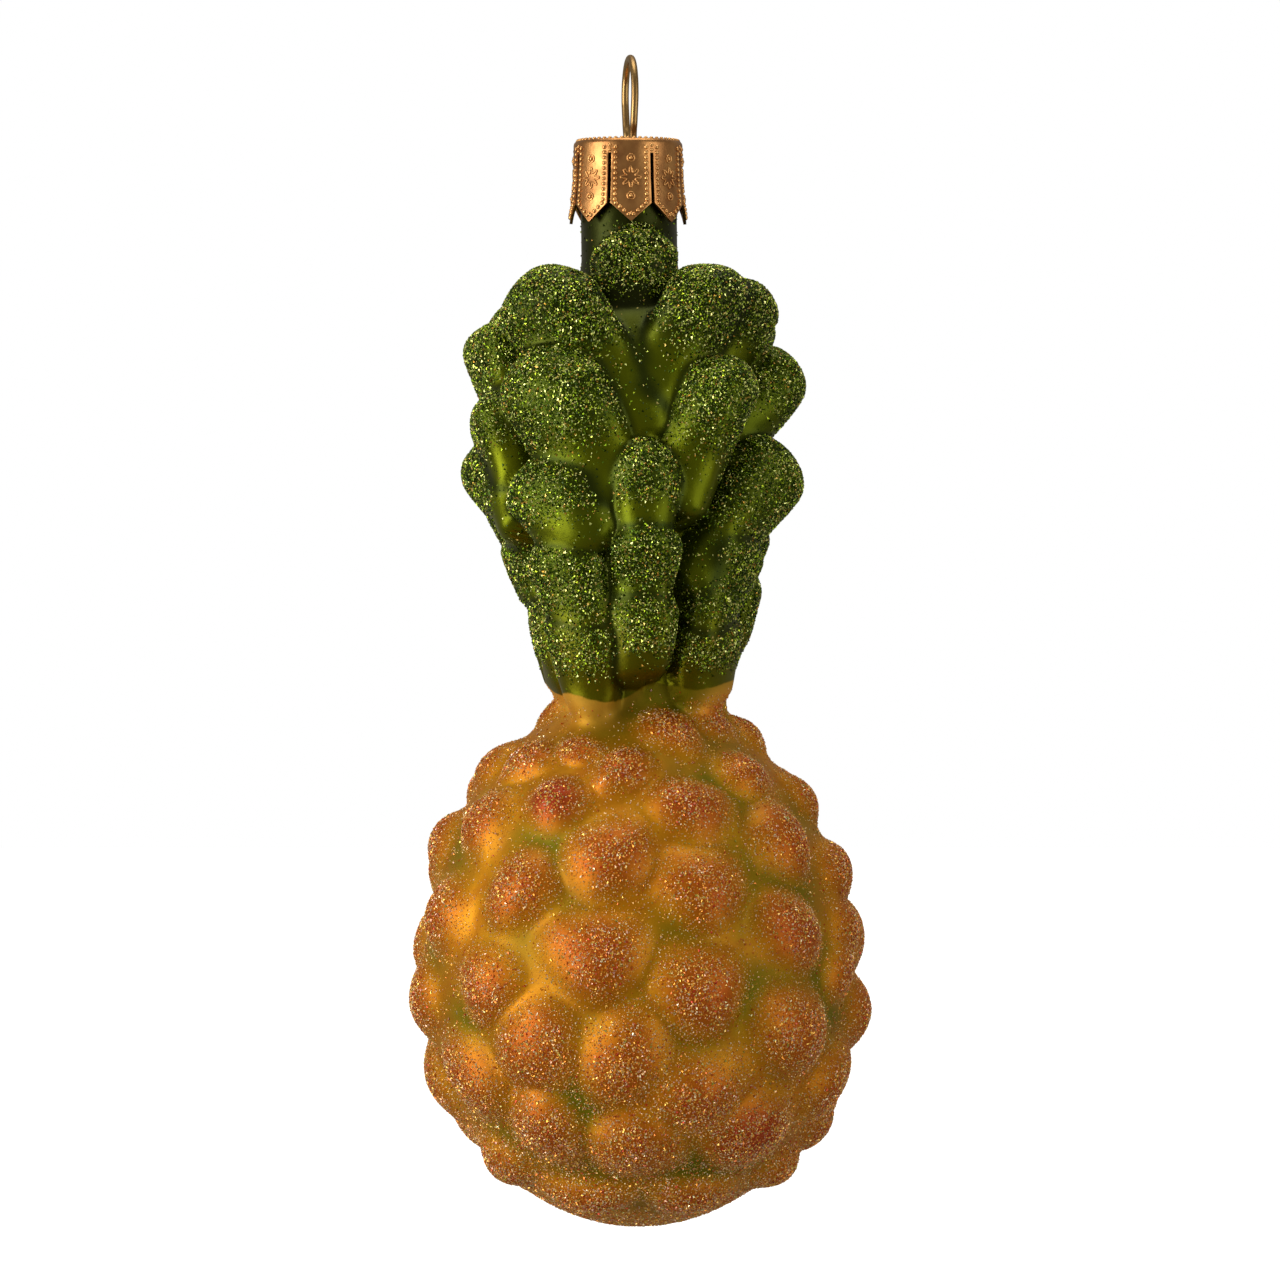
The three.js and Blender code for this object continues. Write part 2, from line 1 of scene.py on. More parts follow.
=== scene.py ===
"""The looks of a blown-glass hanging ornament in the shape of a pineapple.

The glass is lacquered over silvering: green on the leaves, orange and yellow on the fruit, with
coloured glitter glued over the leaf tips and the bumps. A stamped, embossed cap sits on the neck, and
a sprung wire hanger passes through it. Lengths below are in millimetres until they reach Blender.
A bearing is an angle round Z in degrees: 0 is the front (-Y), 90 is the right (+X).
"""

import math

import bpy
import numpy as np
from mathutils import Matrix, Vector


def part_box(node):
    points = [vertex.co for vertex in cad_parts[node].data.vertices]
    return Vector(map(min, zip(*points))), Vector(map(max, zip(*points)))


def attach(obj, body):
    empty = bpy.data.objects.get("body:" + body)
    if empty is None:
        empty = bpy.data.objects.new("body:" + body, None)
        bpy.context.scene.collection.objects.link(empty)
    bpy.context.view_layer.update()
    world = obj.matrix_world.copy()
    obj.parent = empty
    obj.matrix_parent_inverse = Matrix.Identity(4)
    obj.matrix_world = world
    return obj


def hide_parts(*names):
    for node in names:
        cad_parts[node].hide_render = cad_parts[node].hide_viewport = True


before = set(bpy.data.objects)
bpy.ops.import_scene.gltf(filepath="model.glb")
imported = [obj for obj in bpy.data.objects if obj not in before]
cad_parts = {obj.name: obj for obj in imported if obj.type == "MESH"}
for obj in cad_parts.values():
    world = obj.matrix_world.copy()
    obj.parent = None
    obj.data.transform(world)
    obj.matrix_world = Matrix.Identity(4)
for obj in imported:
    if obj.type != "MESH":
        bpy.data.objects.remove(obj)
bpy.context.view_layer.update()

MM = 0.001  # metres in a millimetre


def box_in_mm(node):
    """A CAD node's lowest and highest corners, in millimetres."""
    low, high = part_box(node)
    return Vector(low) / MM, Vector(high) / MM


glass_low, glass_high = box_in_mm("glass_body")
cap_low, cap_high = box_in_mm("cap")
wire_high = box_in_mm("hanger")[1]

# ---------- sizes of the glass body ----------

RIM = glass_high.z
NECK_WALL = 0.9
CROWN_WALL = 2.0
FRUIT_WALL = 1.2
NECK_RADIUS = 4.8
NECK_LENGTH = 24.0
CROWN_LENGTH = 28.5
CROWN_TOP_RADIUS = 10.8
CROWN_FOOT_RADIUS = 7.3
WAIST_DROP = 2.5
FRUIT_RADIUS = 21.3
FRUIT_ABOVE = 28.0
FRUIT_BELOW = 24.8
NECK_OFFSET = (cap_low.x + cap_high.x) / 2
FRUIT_OFFSET = 0.85
LEAF_FILLET = 0.7
CORE_FILLET = 3.0
LEAF_ROOT_SHARE = 0.84
BUMP_SPREAD = 0.55
BUMP_FOOT = 0.3
WOBBLE = 0.5
BUMP_DEPTH = 0.75
BUMP_SHARPNESS = 3

CROWN_TOP = RIM - NECK_LENGTH
CROWN_FOOT = CROWN_TOP - CROWN_LENGTH
FRUIT_MIDDLE = CROWN_FOOT - WAIST_DROP - FRUIT_ABOVE

# Each leaf: bearing of its tip, height of its top above the crown's foot, how far the tip stands out
# from the core, width, length, degrees that the root lies round from the tip, tilt, thickness.
LEAVES = [
    (3, 1.53, -3.4, 8.4, 14, 4, 2, 4.2),
    (-43, 1.39, 3.8, 11, 20, 42, 11, 6.8),
    (48, 1.42, 3.6, 8.6, 17, -34, 13, 6.2),
    (68, 1.35, 4.2, 7.2, 11, -6, 22, 5.4),
    (-86, 1.24, 5.6, 8.6, 14, 8, 12, 6),
    (-37, 1.12, 5.6, 10.8, 17, 18, 10, 7.6),
    (44, 1.1, 5.6, 8.6, 17, -18, 12, 7),
    (86, 1.13, 6.4, 8.4, 13, -10, 30, 6),
    (-76, 1, 6, 8.8, 12, 6, 12, 6.6),
    (-84, 0.83, 6.7, 8.4, 12, 15, 20, 6.2),
    (4, 0.79, 5.4, 7.4, 10.5, 0, 13, 6.6),
    (-37, 0.74, 5.8, 10, 10.5, 8, 14, 6.2),
    (74, 0.8, 6.8, 8, 17, -32, 18, 6.2),
    (95, 0.53, 4.7, 5.6, 9, 0, 12, 4.6),
    (55, 0.48, 5.6, 7, 11, -10, 13, 5),
    (5, 0.53, 5.3, 7.2, 10, 0, 13, 6),
    (-33, 0.46, 5.5, 8, 10, 4, 14, 5.6),
    (-82, 0.53, 4.1, 6.8, 10, 4, 13, 5.2),
    (88, 0.35, 4.3, 6, 9, -4, 15, 4.8),
    (5, 0.31, 4.7, 7.2, 11, 0, 11, 5.6),
    (-29, 0.23, 4.5, 7.4, 11, 2, 12, 5.4),
    (-68, 0.27, 3.2, 6.6, 11, 2, 10, 5),
    (49, 0.22, 4.5, 7.6, 10, 0, 12, 5.2),
    (94, 0.17, 2.9, 6.4, 10, 0, 12, 5),
    # the back
    (180, 1.53, -3.2, 8.4, 14, -4, 2, 4.4),
    (142, 1.4, 3.4, 10.6, 18, 30, 12, 6.4),
    (-140, 1.38, 3.4, 10.2, 18, -28, 12, 6.4),
    (106, 1.3, 4.4, 7.8, 12, 4, 20, 5.6),
    (-114, 1.31, 4, 8.2, 12, -4, 18, 5.6),
    (128, 1.11, 5.6, 9.6, 15, 10, 12, 6.4),
    (176, 1.14, 5.4, 10, 16, -4, 10, 6.8),
    (-133, 1.09, 5.6, 9.6, 15, -10, 12, 6.4),
    (122, 0.82, 6.2, 8.4, 12, 10, 16, 6),
    (168, 0.78, 5.7, 8.4, 11, 0, 13, 6.2),
    (-146, 0.81, 5.8, 8.6, 11, -4, 14, 6.2),
    (-114, 0.75, 6.2, 7.6, 13, -8, 15, 5.8),
    (140, 0.51, 5.2, 7.6, 10, 4, 14, 5.4),
    (-176, 0.48, 5.2, 7.8, 10, 0, 13, 5.6),
    (-134, 0.51, 5.1, 7.8, 10, -4, 14, 5.4),
    (142, 0.26, 4.2, 7.4, 11, 0, 11, 5.2),
    (-174, 0.25, 4.2, 7.6, 11, 0, 11, 5.2),
    (-130, 0.26, 4.1, 7.6, 11, 0, 11, 5.2),
]

# Each bump: bearing, latitude on the egg, width, height, rise, and how red its top is sprayed.
BUMPS = [
    (21, 61, 6.6, 5.6, 1.3, 0), (-7, 48, 6.2, 5.8, 1.6, 0), (-52, 51, 6.6, 5.2, 1.4, 0.15),
    (-28, 55, 5, 4, 0.8, 0), (-88, 68, 5.2, 4.4, 1.2, 0), (54, 64, 6, 4.6, 0.9, 0),
    (86, 59, 5.6, 5.2, 1.6, 0), (47, 46, 7.6, 6, 1.6, 0), (80, 41, 6, 5.6, 1.8, 0),
    (-85, 49, 6.6, 6, 1.8, 0), (-56, 35, 7, 7, 1.9, 0.3), (-27, 38, 7.2, 6.8, 2.3, 0.9),
    (18, 38, 8, 7, 2.1, 0.3), (49, 30, 8.4, 7.4, 2.2, 0), (-88, 28, 7.6, 7.4, 2.2, 0.4),
    (79, 23, 7.6, 7, 2.2, 0.2), (-7, 27, 8.8, 7.8, 2.2, 0), (-34, 19, 8.6, 7.8, 2, 0),
    (19, 20, 9.6, 8.4, 2.1, 0), (-64, 13, 8.2, 7.6, 2, 0), (-11, 7, 10.2, 8.8, 2.1, 0.1),
    (44, 11, 8.2, 7.6, 2, 0.35), (73, 10, 7.2, 6.6, 1.8, 0), (-43, 1, 9, 7.8, 1.9, 0),
    (-80, -5, 8.4, 8, 2.1, 0.3), (68, 2, 6.6, 5.8, 1.6, 0), (16, 0, 10.2, 9, 2.1, 0.1),
    (45, -10, 10, 9, 2.1, 0), (86, -9, 8, 7.4, 2.3, 0.35), (-27, -14, 9.8, 9, 2, 0),
    (-4, -16, 9, 9.6, 2, 0), (-54, -21, 8.6, 8.2, 2, 0), (18, -24, 10.4, 8.8, 2, 0),
    (-86, -25, 8, 7.8, 1.9, 0), (72, -23, 8.4, 8, 2, 0), (-30, -34, 8.4, 7.8, 1.9, 0),
    (0, -38, 9.6, 7.6, 1.9, 0), (38, -36, 10.6, 8, 2.1, 0.7), (84, -35, 7.6, 6.4, 1.9, 0),
    (-60, -46, 8.6, 6.8, 1.8, 0), (-26, -57, 9.6, 6, 1.5, 0), (27, -57, 10, 6.4, 1.6, 0),
    (74, -49, 8.2, 6.4, 1.8, 0),
    # the back
    (-160, 61, 6.4, 5.6, 1.3, 0), (172, 51, 6.6, 6, 1.7, 0), (128, 59, 6.4, 5.2, 1.4, 0),
    (-132, 56, 6.4, 5.4, 1.5, 0), (-108, 43, 6.8, 6, 1.8, 0), (150, 41, 7.2, 6.4, 1.9, 0),
    (112, 41, 6.8, 6.2, 1.8, 0), (-158, 37, 7.6, 6.8, 2.1, 0), (-132, 32, 7.6, 7, 2.1, 0.6),
    (175, 27, 8.4, 7.6, 2.2, 0.5), (134, 27, 8.4, 7.6, 2.2, 0), (105, 22, 8, 7.4, 2.1, 0),
    (-106, 23, 7.8, 7.2, 2, 0), (-156, 17, 9, 8, 2.1, 0), (156, 13, 9, 8.2, 2.1, 0),
    (-130, 13, 8.4, 7.6, 2, 0), (120, 8, 8.8, 8, 2, 0), (-103, 6, 8, 7.4, 2, 0), (-178, 1, 10, 8.8, 2.1, 0),
    (-147, -4, 9.4, 8.4, 2.1, 0), (147, -6, 9.6, 8.6, 2.1, 0.4), (110, -11, 8.6, 8, 2.1, 0.3),
    (-120, -15, 9.2, 8.4, 2, 0.4), (170, -21, 9.8, 8.8, 2, 0), (-160, -24, 9.4, 8.4, 2, 0.5),
    (132, -27, 9.2, 8.4, 2, 0), (-138, -34, 8.8, 7.8, 1.9, 0), (100, -30, 7.6, 6.8, 1.8, 0),
    (-110, -36, 8.2, 7, 1.9, 0), (176, -43, 9.2, 7.4, 1.8, 0), (146, -48, 8.8, 6.8, 1.8, 0),
    (-156, -53, 9, 6.4, 1.7, 0), (112, -50, 8, 6.4, 1.7, 0), (-122, -54, 8.4, 6, 1.6, 0),
    (172, -66, 7.6, 5, 1.3, 0), (97, 8, 8.4, 7.6, 2, 0), (101, 57, 5.6, 5, 1.4, 0),
]

# Green sprayed over the yellow between the bumps: bearing, latitude, width, height, strength.
GREEN_PATCHES = [
    (25, 70, 12, 8, 0.9), (12, 12, 7, 6, 0.6), (-20, 14, 5, 10, 0.5), (32, 20, 6, 10, 0.8),
    (-28, 31, 9, 5, 0.8), (-12, 60, 10, 6, 0.5), (30, 42, 10, 8, 0.7), (28, 58, 12, 6, 0.6),
    (45, 20, 12, 7, 0.8), (33, -2, 14, 7, 1.0), (60, -2, 9, 9, 0.8), (-30, 8, 10, 6, 0.5),
    (-22, 26, 8, 5, 0.6), (-18, -28, 6, 14, 1.0), (-14, -45, 9, 6, 0.8), (22, -45, 14, 5, 1.0),
    (-52, -8, 9, 6, 0.6), (-68, 28, 8, 8, 0.6), (0, 3, 6, 8, 0.4), (12, -12, 9, 6, 0.5),
    (2, -58, 8, 5, 0.6), (-72, 5, 8, 6, 0.5), (70, 36, 9, 6, 0.5), (-45, -38, 9, 6, 0.5),
    (150, 52, 12, 6, 0.7), (-150, 30, 12, 7, 0.8), (172, 8, 9, 9, 0.8), (125, -5, 10, 8, 0.8),
    (-135, -12, 10, 9, 0.9), (165, -34, 12, 7, 0.9), (-165, -46, 10, 6, 0.8), (108, 30, 9, 7, 0.6),
    (-110, -26, 9, 8, 0.8), (135, -42, 10, 6, 0.7), (-120, 48, 10, 6, 0.6),
]


def polar(bearing, distance, height):
    """The point at a bearing, a distance from the axis and a height."""
    turn = math.radians(bearing)
    return np.array([distance * math.sin(turn), -distance * math.cos(turn), height])


def unit(vector):
    return vector / np.linalg.norm(vector)


def smooth_step(low, high, value):
    share = np.clip((value - low) / (high - low), 0, 1)
    return share * share * (3 - 2 * share)


# ---------- the glass body's shape ----------
# Distances are positive outside the glass and negative inside, for many points at once.


def join(a, b, fillet):
    """Two distances joined with a fillet."""
    near = np.maximum(fillet - np.abs(a - b), 0) / fillet
    return np.minimum(a, b) - near * near * fillet / 4


def middle_at(height):
    """How far right the body's middle lies at a height."""
    share = np.clip((height - RIM) / (FRUIT_MIDDLE - RIM), 0, 1)
    return NECK_OFFSET + (FRUIT_OFFSET - NECK_OFFSET) * share


class Tongue:
    """A round-ended cone from root to tip, drawn out sideways where flat is below 1."""

    def __init__(self, root, tip, root_radius, tip_radius, side, flat):
        self.root = root
        self.length = np.linalg.norm(tip - root)
        self.axis = (tip - root) / self.length
        self.root_radius = root_radius
        self.tip_radius = tip_radius
        self.side = side
        self.flat = flat

    def measure(self, points):
        """Each point's distance to the skin, and how far along from root to tip it lies."""
        offset = points - self.root
        offset = offset - np.outer((1 - self.flat) * (offset @ self.side), self.side)
        along = np.clip(offset @ self.axis / self.length, 0, 1)
        offset -= np.outer(along * self.length, self.axis)
        radius = self.root_radius + (self.tip_radius - self.root_radius) * along
        return np.linalg.norm(offset, axis=1) - radius, along


class Leaf(Tongue):
    def __init__(self, bearing, rise, stand, width, length, lean, tilt, thickness):
        tip_radius = thickness / 2
        top = CROWN_FOOT + rise * CROWN_LENGTH
        share = min(max((top - CROWN_FOOT) / CROWN_LENGTH, 0), 1)
        core = CROWN_FOOT_RADIUS + (CROWN_TOP_RADIUS - CROWN_FOOT_RADIUS) * share
        reach = core + stand - tip_radius
        run = length - thickness
        inwards = run * math.sin(math.radians(tilt))
        down = run * math.cos(math.radians(tilt))
        tip = polar(bearing, reach, top - tip_radius)
        root = polar(bearing + lean, reach - inwards, top - tip_radius - down)
        outwards = (root + tip) * (1, 1, 0)
        side = unit(np.cross(tip - root, outwards))
        super().__init__(root, tip, tip_radius * LEAF_ROOT_SHARE, tip_radius, side, thickness / width)


def egg_frame(bearing, latitude):
    """A place on the fruit's egg with its outward, sideways and upward directions."""
    up = math.sin(math.radians(latitude))
    out = FRUIT_RADIUS * math.cos(math.radians(latitude))
    half_height = FRUIT_ABOVE if latitude > 0 else FRUIT_BELOW
    centre = polar(bearing, out, FRUIT_MIDDLE + half_height * up)
    normal = unit(polar(bearing, out / FRUIT_RADIUS ** 2, up / half_height))
    across = polar(bearing + 90, 1, 0)
    return centre, normal, across, np.cross(normal, across)


class Spot:
    """A soft-edged oval on the fruit's egg."""

    def __init__(self, bearing, latitude, width, height, strength, extra=0.0):
        self.centre, normal, across, along = egg_frame(bearing, latitude)
        half_sizes = np.array([width * BUMP_SPREAD, height * BUMP_SPREAD, width * BUMP_DEPTH])
        self.scaled_axes = np.array([across, along, normal]) / half_sizes[:, None]
        self.strength = strength
        self.extra = extra

    def reach(self, points):
        """How far from the middle, as a share of the oval's half-size."""
        return np.linalg.norm((points - self.centre) @ self.scaled_axes.T, axis=1)

    def dome(self, points):
        """A round dome of height 1 with a filleted foot."""
        height = 1 - self.reach(points) ** 2
        return (height + np.hypot(height, BUMP_FOOT)) / 2

    def closeness(self, points):
        """1 at the middle, fading to 0 outside the oval."""
        return np.exp(-(self.reach(points) ** 2))


def egg_distance(points):
    half_height = np.where(points[:, 2] > FRUIT_MIDDLE, FRUIT_ABOVE, FRUIT_BELOW)
    radii = np.stack([np.full(len(points), FRUIT_RADIUS)] * 2 + [half_height], axis=1)
    scaled = (points - (0, 0, FRUIT_MIDDLE)) / radii
    share = np.linalg.norm(scaled, axis=1)
    return share * (share - 1) / np.linalg.norm(scaled / radii, axis=1)


crown_core = Tongue(
    polar(0, 0, CROWN_FOOT), polar(0, 0, CROWN_TOP), CROWN_FOOT_RADIUS, CROWN_TOP_RADIUS, polar(90, 1, 0), 1.0
)
leaves = [Leaf(*row) for row in LEAVES]
bumps = [Spot(*row) for row in BUMPS]
green_patches = [Spot(*row) for row in GREEN_PATCHES]
CROWN_REACHES_DOWN_TO = CROWN_FOOT - 9
BUMPS_REACH_UP_TO = CROWN_FOOT + 4
FAR = 30.0
RAY_START = FAR + 4
STEP_LIMIT = 90
STEP_SHARE = 0.7  # of the distance read, so that no ray steps past the skin
STEP_TOLERANCE = 0.003
WOBBLE_RATES = (0.62, 0.55, 0.58)
WOBBLE_STARTS = (0.4, 2.1, 4.0)
NECK_FOOT_RISE = 8.5  # how far above the crown the neck's plain tube starts
CROWN_WALL_RISE = 6


def centred(points):
    """The points as they lie to the leaning body's middle."""
    moved = points.copy()
    moved[:, 0] -= middle_at(points[:, 2])
    return moved


def wobbled(points):
    """The points pushed about a little, which makes the leaves and bumps uneven."""
    wave = np.sin(points[:, [1, 2, 0]] * WOBBLE_RATES + WOBBLE_STARTS)
    return points + WOBBLE * wave


def crown_distance(points):
    neck = np.maximum(np.hypot(points[:, 0], points[:, 1]) - NECK_RADIUS, CROWN_FOOT - points[:, 2])
    distance = join(neck, crown_core.measure(points)[0], CORE_FILLET)
    uneven = wobbled(points)
    for leaf in leaves:
        distance = join(distance, leaf.measure(uneven)[0], LEAF_FILLET)
    return distance


def bump_lift(points):
    lift = np.zeros(len(points))
    for bump in bumps:
        lift += (bump.strength * bump.dome(points)) ** BUMP_SHARPNESS
    return lift ** (1 / BUMP_SHARPNESS)


def skin_distance(world_points):
    points = centred(world_points)
    crown = np.full(len(points), FAR)
    upper = points[:, 2] > CROWN_REACHES_DOWN_TO
    crown[upper] = crown_distance(points[upper])
    fruit = egg_distance(points)
    lower = points[:, 2] < BUMPS_REACH_UP_TO
    fruit[lower] -= bump_lift(wobbled(points[lower]))
    return join(crown, fruit, CORE_FILLET)


# The rows of the skin look outwards from the axis: each stretch starts at a height and an elevation
# and goes on to the next one's in so many rows.
COLUMNS = 288
INNER_ROW_STEP = 8
ROW_STRETCHES = [
    (RIM, 0, 22),
    (CROWN_TOP + NECK_FOOT_RISE, 40, 30),
    (CROWN_TOP, 40, 54),
    (CROWN_TOP - 13.5, 10, 40),
    (CROWN_FOOT - WAIST_DROP, 0, 36),
    (FRUIT_MIDDLE + 11.5, 25, 42),
    (FRUIT_MIDDLE, 0, 80),
    (FRUIT_MIDDLE, -90, 0),
]


def skin_rows():
    rows = []
    for (height, elevation, steps), (next_height, next_elevation, _) in zip(ROW_STRETCHES, ROW_STRETCHES[1:]):
        for share in np.arange(steps) / max(steps, 1):
            row_height = height + (next_height - height) * share
            row_elevation = elevation + (next_elevation - elevation) * share
            rows.append((row_height, math.radians(row_elevation)))
    return rows


def wall_at(heights):
    """How thick the glass is in the row at each height."""
    top = smooth_step(CROWN_TOP, CROWN_TOP + NECK_FOOT_RISE, heights)
    foot = smooth_step(CROWN_FOOT, CROWN_FOOT + CROWN_WALL_RISE, heights)
    below_neck = FRUIT_WALL + (CROWN_WALL - FRUIT_WALL) * foot
    return below_neck + (NECK_WALL - below_neck) * top


def reach_along(origins, directions, start, wanted):
    """How far along each ray the distance to the skin is the one wanted."""
    reach = start.copy()
    live = np.arange(len(reach))
    for _ in range(STEP_LIMIT):
        points = origins[live] + directions[live] * reach[live, None]
        left = skin_distance(points) - wanted[live]
        reach[live] -= left * STEP_SHARE
        live = live[np.abs(left) > STEP_TOLERANCE]
        if len(live) == 0:
            break
    return reach


def rays_of(rows):
    """The rays of the rows, column by column, with one straight down for the pole at the end."""
    bearings = np.arange(COLUMNS) * 2 * math.pi / COLUMNS
    origins, directions = [], []
    for height, elevation in rows:
        origins.append(np.tile([float(middle_at(height)), 0, height], (COLUMNS, 1)))
        flat = math.cos(elevation)
        rise = np.full(COLUMNS, math.sin(elevation))
        directions.append(np.stack([np.sin(bearings) * flat, -np.cos(bearings) * flat, rise], axis=1))
    origins.append([[float(middle_at(FRUIT_MIDDLE)), 0, FRUIT_MIDDLE]])
    directions.append([[0, 0, -1]])
    return np.concatenate(origins), np.concatenate(directions)


def ring_faces(upper, lower):
    """The band of quads between two rings, the first above the second seen from outside."""
    ring = np.arange(COLUMNS)
    after = (ring + 1) % COLUMNS
    return np.stack([upper + ring, lower + ring, lower + after, upper + after], axis=1)


def fan_faces(ring_start, pole, inside):
    ring = ring_start + np.arange(COLUMNS)
    after = ring_start + (np.arange(COLUMNS) + 1) % COLUMNS
    poles = np.full(COLUMNS, pole)
    return np.stack([ring, after, poles] if inside else [after, ring, poles], axis=1)


def glass_shell():
    """The vertices and faces of the hollow body, and how many vertices the outside has."""
    rows = skin_rows()
    origins, directions = rays_of(rows)
    outer_reach = reach_along(origins, directions, np.full(len(origins), RAY_START), np.zeros(len(origins)))
    outer = origins + directions * outer_reach[:, None]
    inner_rows = np.arange(0, len(rows), INNER_ROW_STEP)
    chosen = np.concatenate([row * COLUMNS + np.arange(COLUMNS) for row in inner_rows] + [[len(outer) - 1]])
    walls = wall_at(origins[chosen, 2])
    inner_reach = reach_along(origins[chosen], directions[chosen], outer_reach[chosen], -walls)
    inner = origins[chosen] + directions[chosen] * inner_reach[:, None]
    vertices = np.concatenate([outer, inner])
    first_inner = len(outer)
    quads = [ring_faces(i * COLUMNS, (i + 1) * COLUMNS) for i in range(len(rows) - 1)]
    rings = [first_inner + i * COLUMNS for i in range(len(inner_rows))]
    quads += [ring_faces(lower, upper) for upper, lower in zip(rings, rings[1:])]
    quads.append(ring_faces(first_inner, 0))
    fans = [
        fan_faces((len(rows) - 1) * COLUMNS, len(outer) - 1, False),
        fan_faces(rings[-1], len(vertices) - 1, True),
    ]
    faces = np.concatenate(quads).tolist() + np.concatenate(fans).tolist()
    return vertices, faces, len(outer)


# ---------- where each paint and glitter goes ----------

PAINT_EDGE = -62.6  # height where the green ends at the waist, on average


def paint_edge_at(bearings):
    """The wavy height at which the green lacquer ends, round the waist."""
    turn = np.radians(bearings)
    wave = 0.45 * np.sin(3 * turn + 0.6) - 0.7 * np.cos(2 * turn + 0.5) + 0.5 * np.sin(7 * turn)
    return PAINT_EDGE + wave


def bump_masks(points):
    """How near to the middle of a bump each point is, and how red that bump's top is."""
    bump = np.zeros(len(points))
    red = np.zeros(len(points))
    for spot in bumps:
        closeness = spot.closeness(points)
        red = np.where(closeness > bump, spot.extra, red)
        bump = np.maximum(bump, closeness)
    return bump, red


def green_mask(points):
    green = np.zeros(len(points))
    for patch in green_patches:
        green = np.maximum(green, patch.strength * patch.closeness(points))
    return green


def leaf_masks(points):
    """Painted shade for the creases between leaves, and the ends of the leaves that are sprayed and
    glittered.
    """
    uneven = wobbled(points)
    nearest = np.full(len(points), FAR)
    second = np.full(len(points), FAR)
    stand_out = np.zeros(len(points))
    along = np.zeros(len(points))
    upper = np.where(points[:, 2] > CROWN_REACHES_DOWN_TO)[0]
    for leaf in leaves:
        distance, share = leaf.measure(uneven[upper])
        closer = distance < nearest[upper]
        second[upper] = np.where(closer, nearest[upper], np.minimum(second[upper], distance))
        along[upper] = np.where(closer, share, along[upper])
        nearest[upper] = np.minimum(nearest[upper], distance)
    stand_out[upper] = crown_core.measure(points[upper])[0]
    second[upper] = np.minimum(second[upper], stand_out[upper])
    crease = 1 - smooth_step(0.0, 0.8, second - nearest)
    on_leaf = 1 - smooth_step(0.1, 0.9, nearest)
    low = smooth_step(CROWN_FOOT + 16, CROWN_FOOT + 6, points[:, 2])
    above_foot = smooth_step(CROWN_FOOT + 0.5, CROWN_FOOT + 3.5, points[:, 2])
    along_sprayed = along + 0.45 * low * above_foot
    tip = smooth_step(0.16, 0.85, along_sprayed) * on_leaf
    tip = tip * (1 - 0.85 * crease) * smooth_step(0.0, 2.0, stand_out)
    return crease * on_leaf, tip


def skin_masks(world_points):
    """Named numbers at each point of the skin, for the lacquers, the painted shade and the glitter."""
    points = centred(world_points)
    bearings = np.degrees(np.arctan2(points[:, 0], -points[:, 1]))
    paint = paint_edge_at(bearings) - points[:, 2]
    bump, red = bump_masks(wobbled(points))
    crease, tip = leaf_masks(points)
    in_crown = 1 - smooth_step(-2.5, 0.0, paint)
    in_fruit = smooth_step(0.0, 2.0, paint)
    depth = smooth_step(-80.0, -114.0, points[:, 2])
    on_bump = smooth_step(0.15, 0.5, bump) * (1 - 0.75 * smooth_step(0.5, 0.85, bump))
    bump_middle = smooth_step(0.45, 0.9, bump)
    return {
        "paint": paint,
        "bump": bump,
        "red": red,
        "green": green_mask(points),
        # where the creases between the leaves get painted shade
        "crease": crease,
        "tip": tip,
        "leaf_glitter": in_crown * (0.04 + tip * 0.96),
        "foot": smooth_step(CROWN_FOOT + 9, CROWN_FOOT, points[:, 2]),
        # the neck towards the cap, which gets painted shade
        "neck": smooth_step(CROWN_TOP + 2, CROWN_TOP + 9, points[:, 2]),
        "bump_sparkle": in_fruit * (0.03 + bump_middle * 0.72 + 0.2 * depth ** 2).clip(0, 1),
        "bump_dust": in_fruit * (0.06 + on_bump * 0.75 + 0.45 * depth ** 2).clip(0, 1),
    }


GLITTER_MASKS = ("leaf_glitter", "bump_sparkle", "bump_dust")


def add_object(name, mesh):
    piece = bpy.data.objects.new(name, mesh)
    bpy.context.collection.objects.link(piece)
    return piece


def mesh_from(name, points_in_mm, faces, edges=()):
    mesh = bpy.data.meshes.new(name)
    mesh.from_pydata((np.asarray(points_in_mm) * MM).tolist(), list(edges), faces)
    mesh.update()
    return mesh


def add_mesh(name, points_in_mm, faces, edges=()):
    return add_object(name, mesh_from(name, points_in_mm, faces, edges))


def shade_smooth(mesh):
    mesh.polygons.foreach_set("use_smooth", np.ones(len(mesh.polygons), bool))
    mesh.update()


def add_attribute(mesh, name, values):
    layer = mesh.attributes.new(name, "FLOAT", "POINT")
    layer.data.foreach_set("value", np.asarray(values, np.float32))


def make_glass():
    vertices, faces, outer_count = glass_shell()
    mesh = mesh_from("glass", vertices, faces)
    shade_smooth(mesh)
    masks = skin_masks(vertices)
    for name, values in masks.items():
        if name in GLITTER_MASKS:
            values[outer_count:] = 0
        add_attribute(mesh, name, values)
    return add_object("glass", mesh)


# ---------- shader and geometry nodes, written as Python ----------


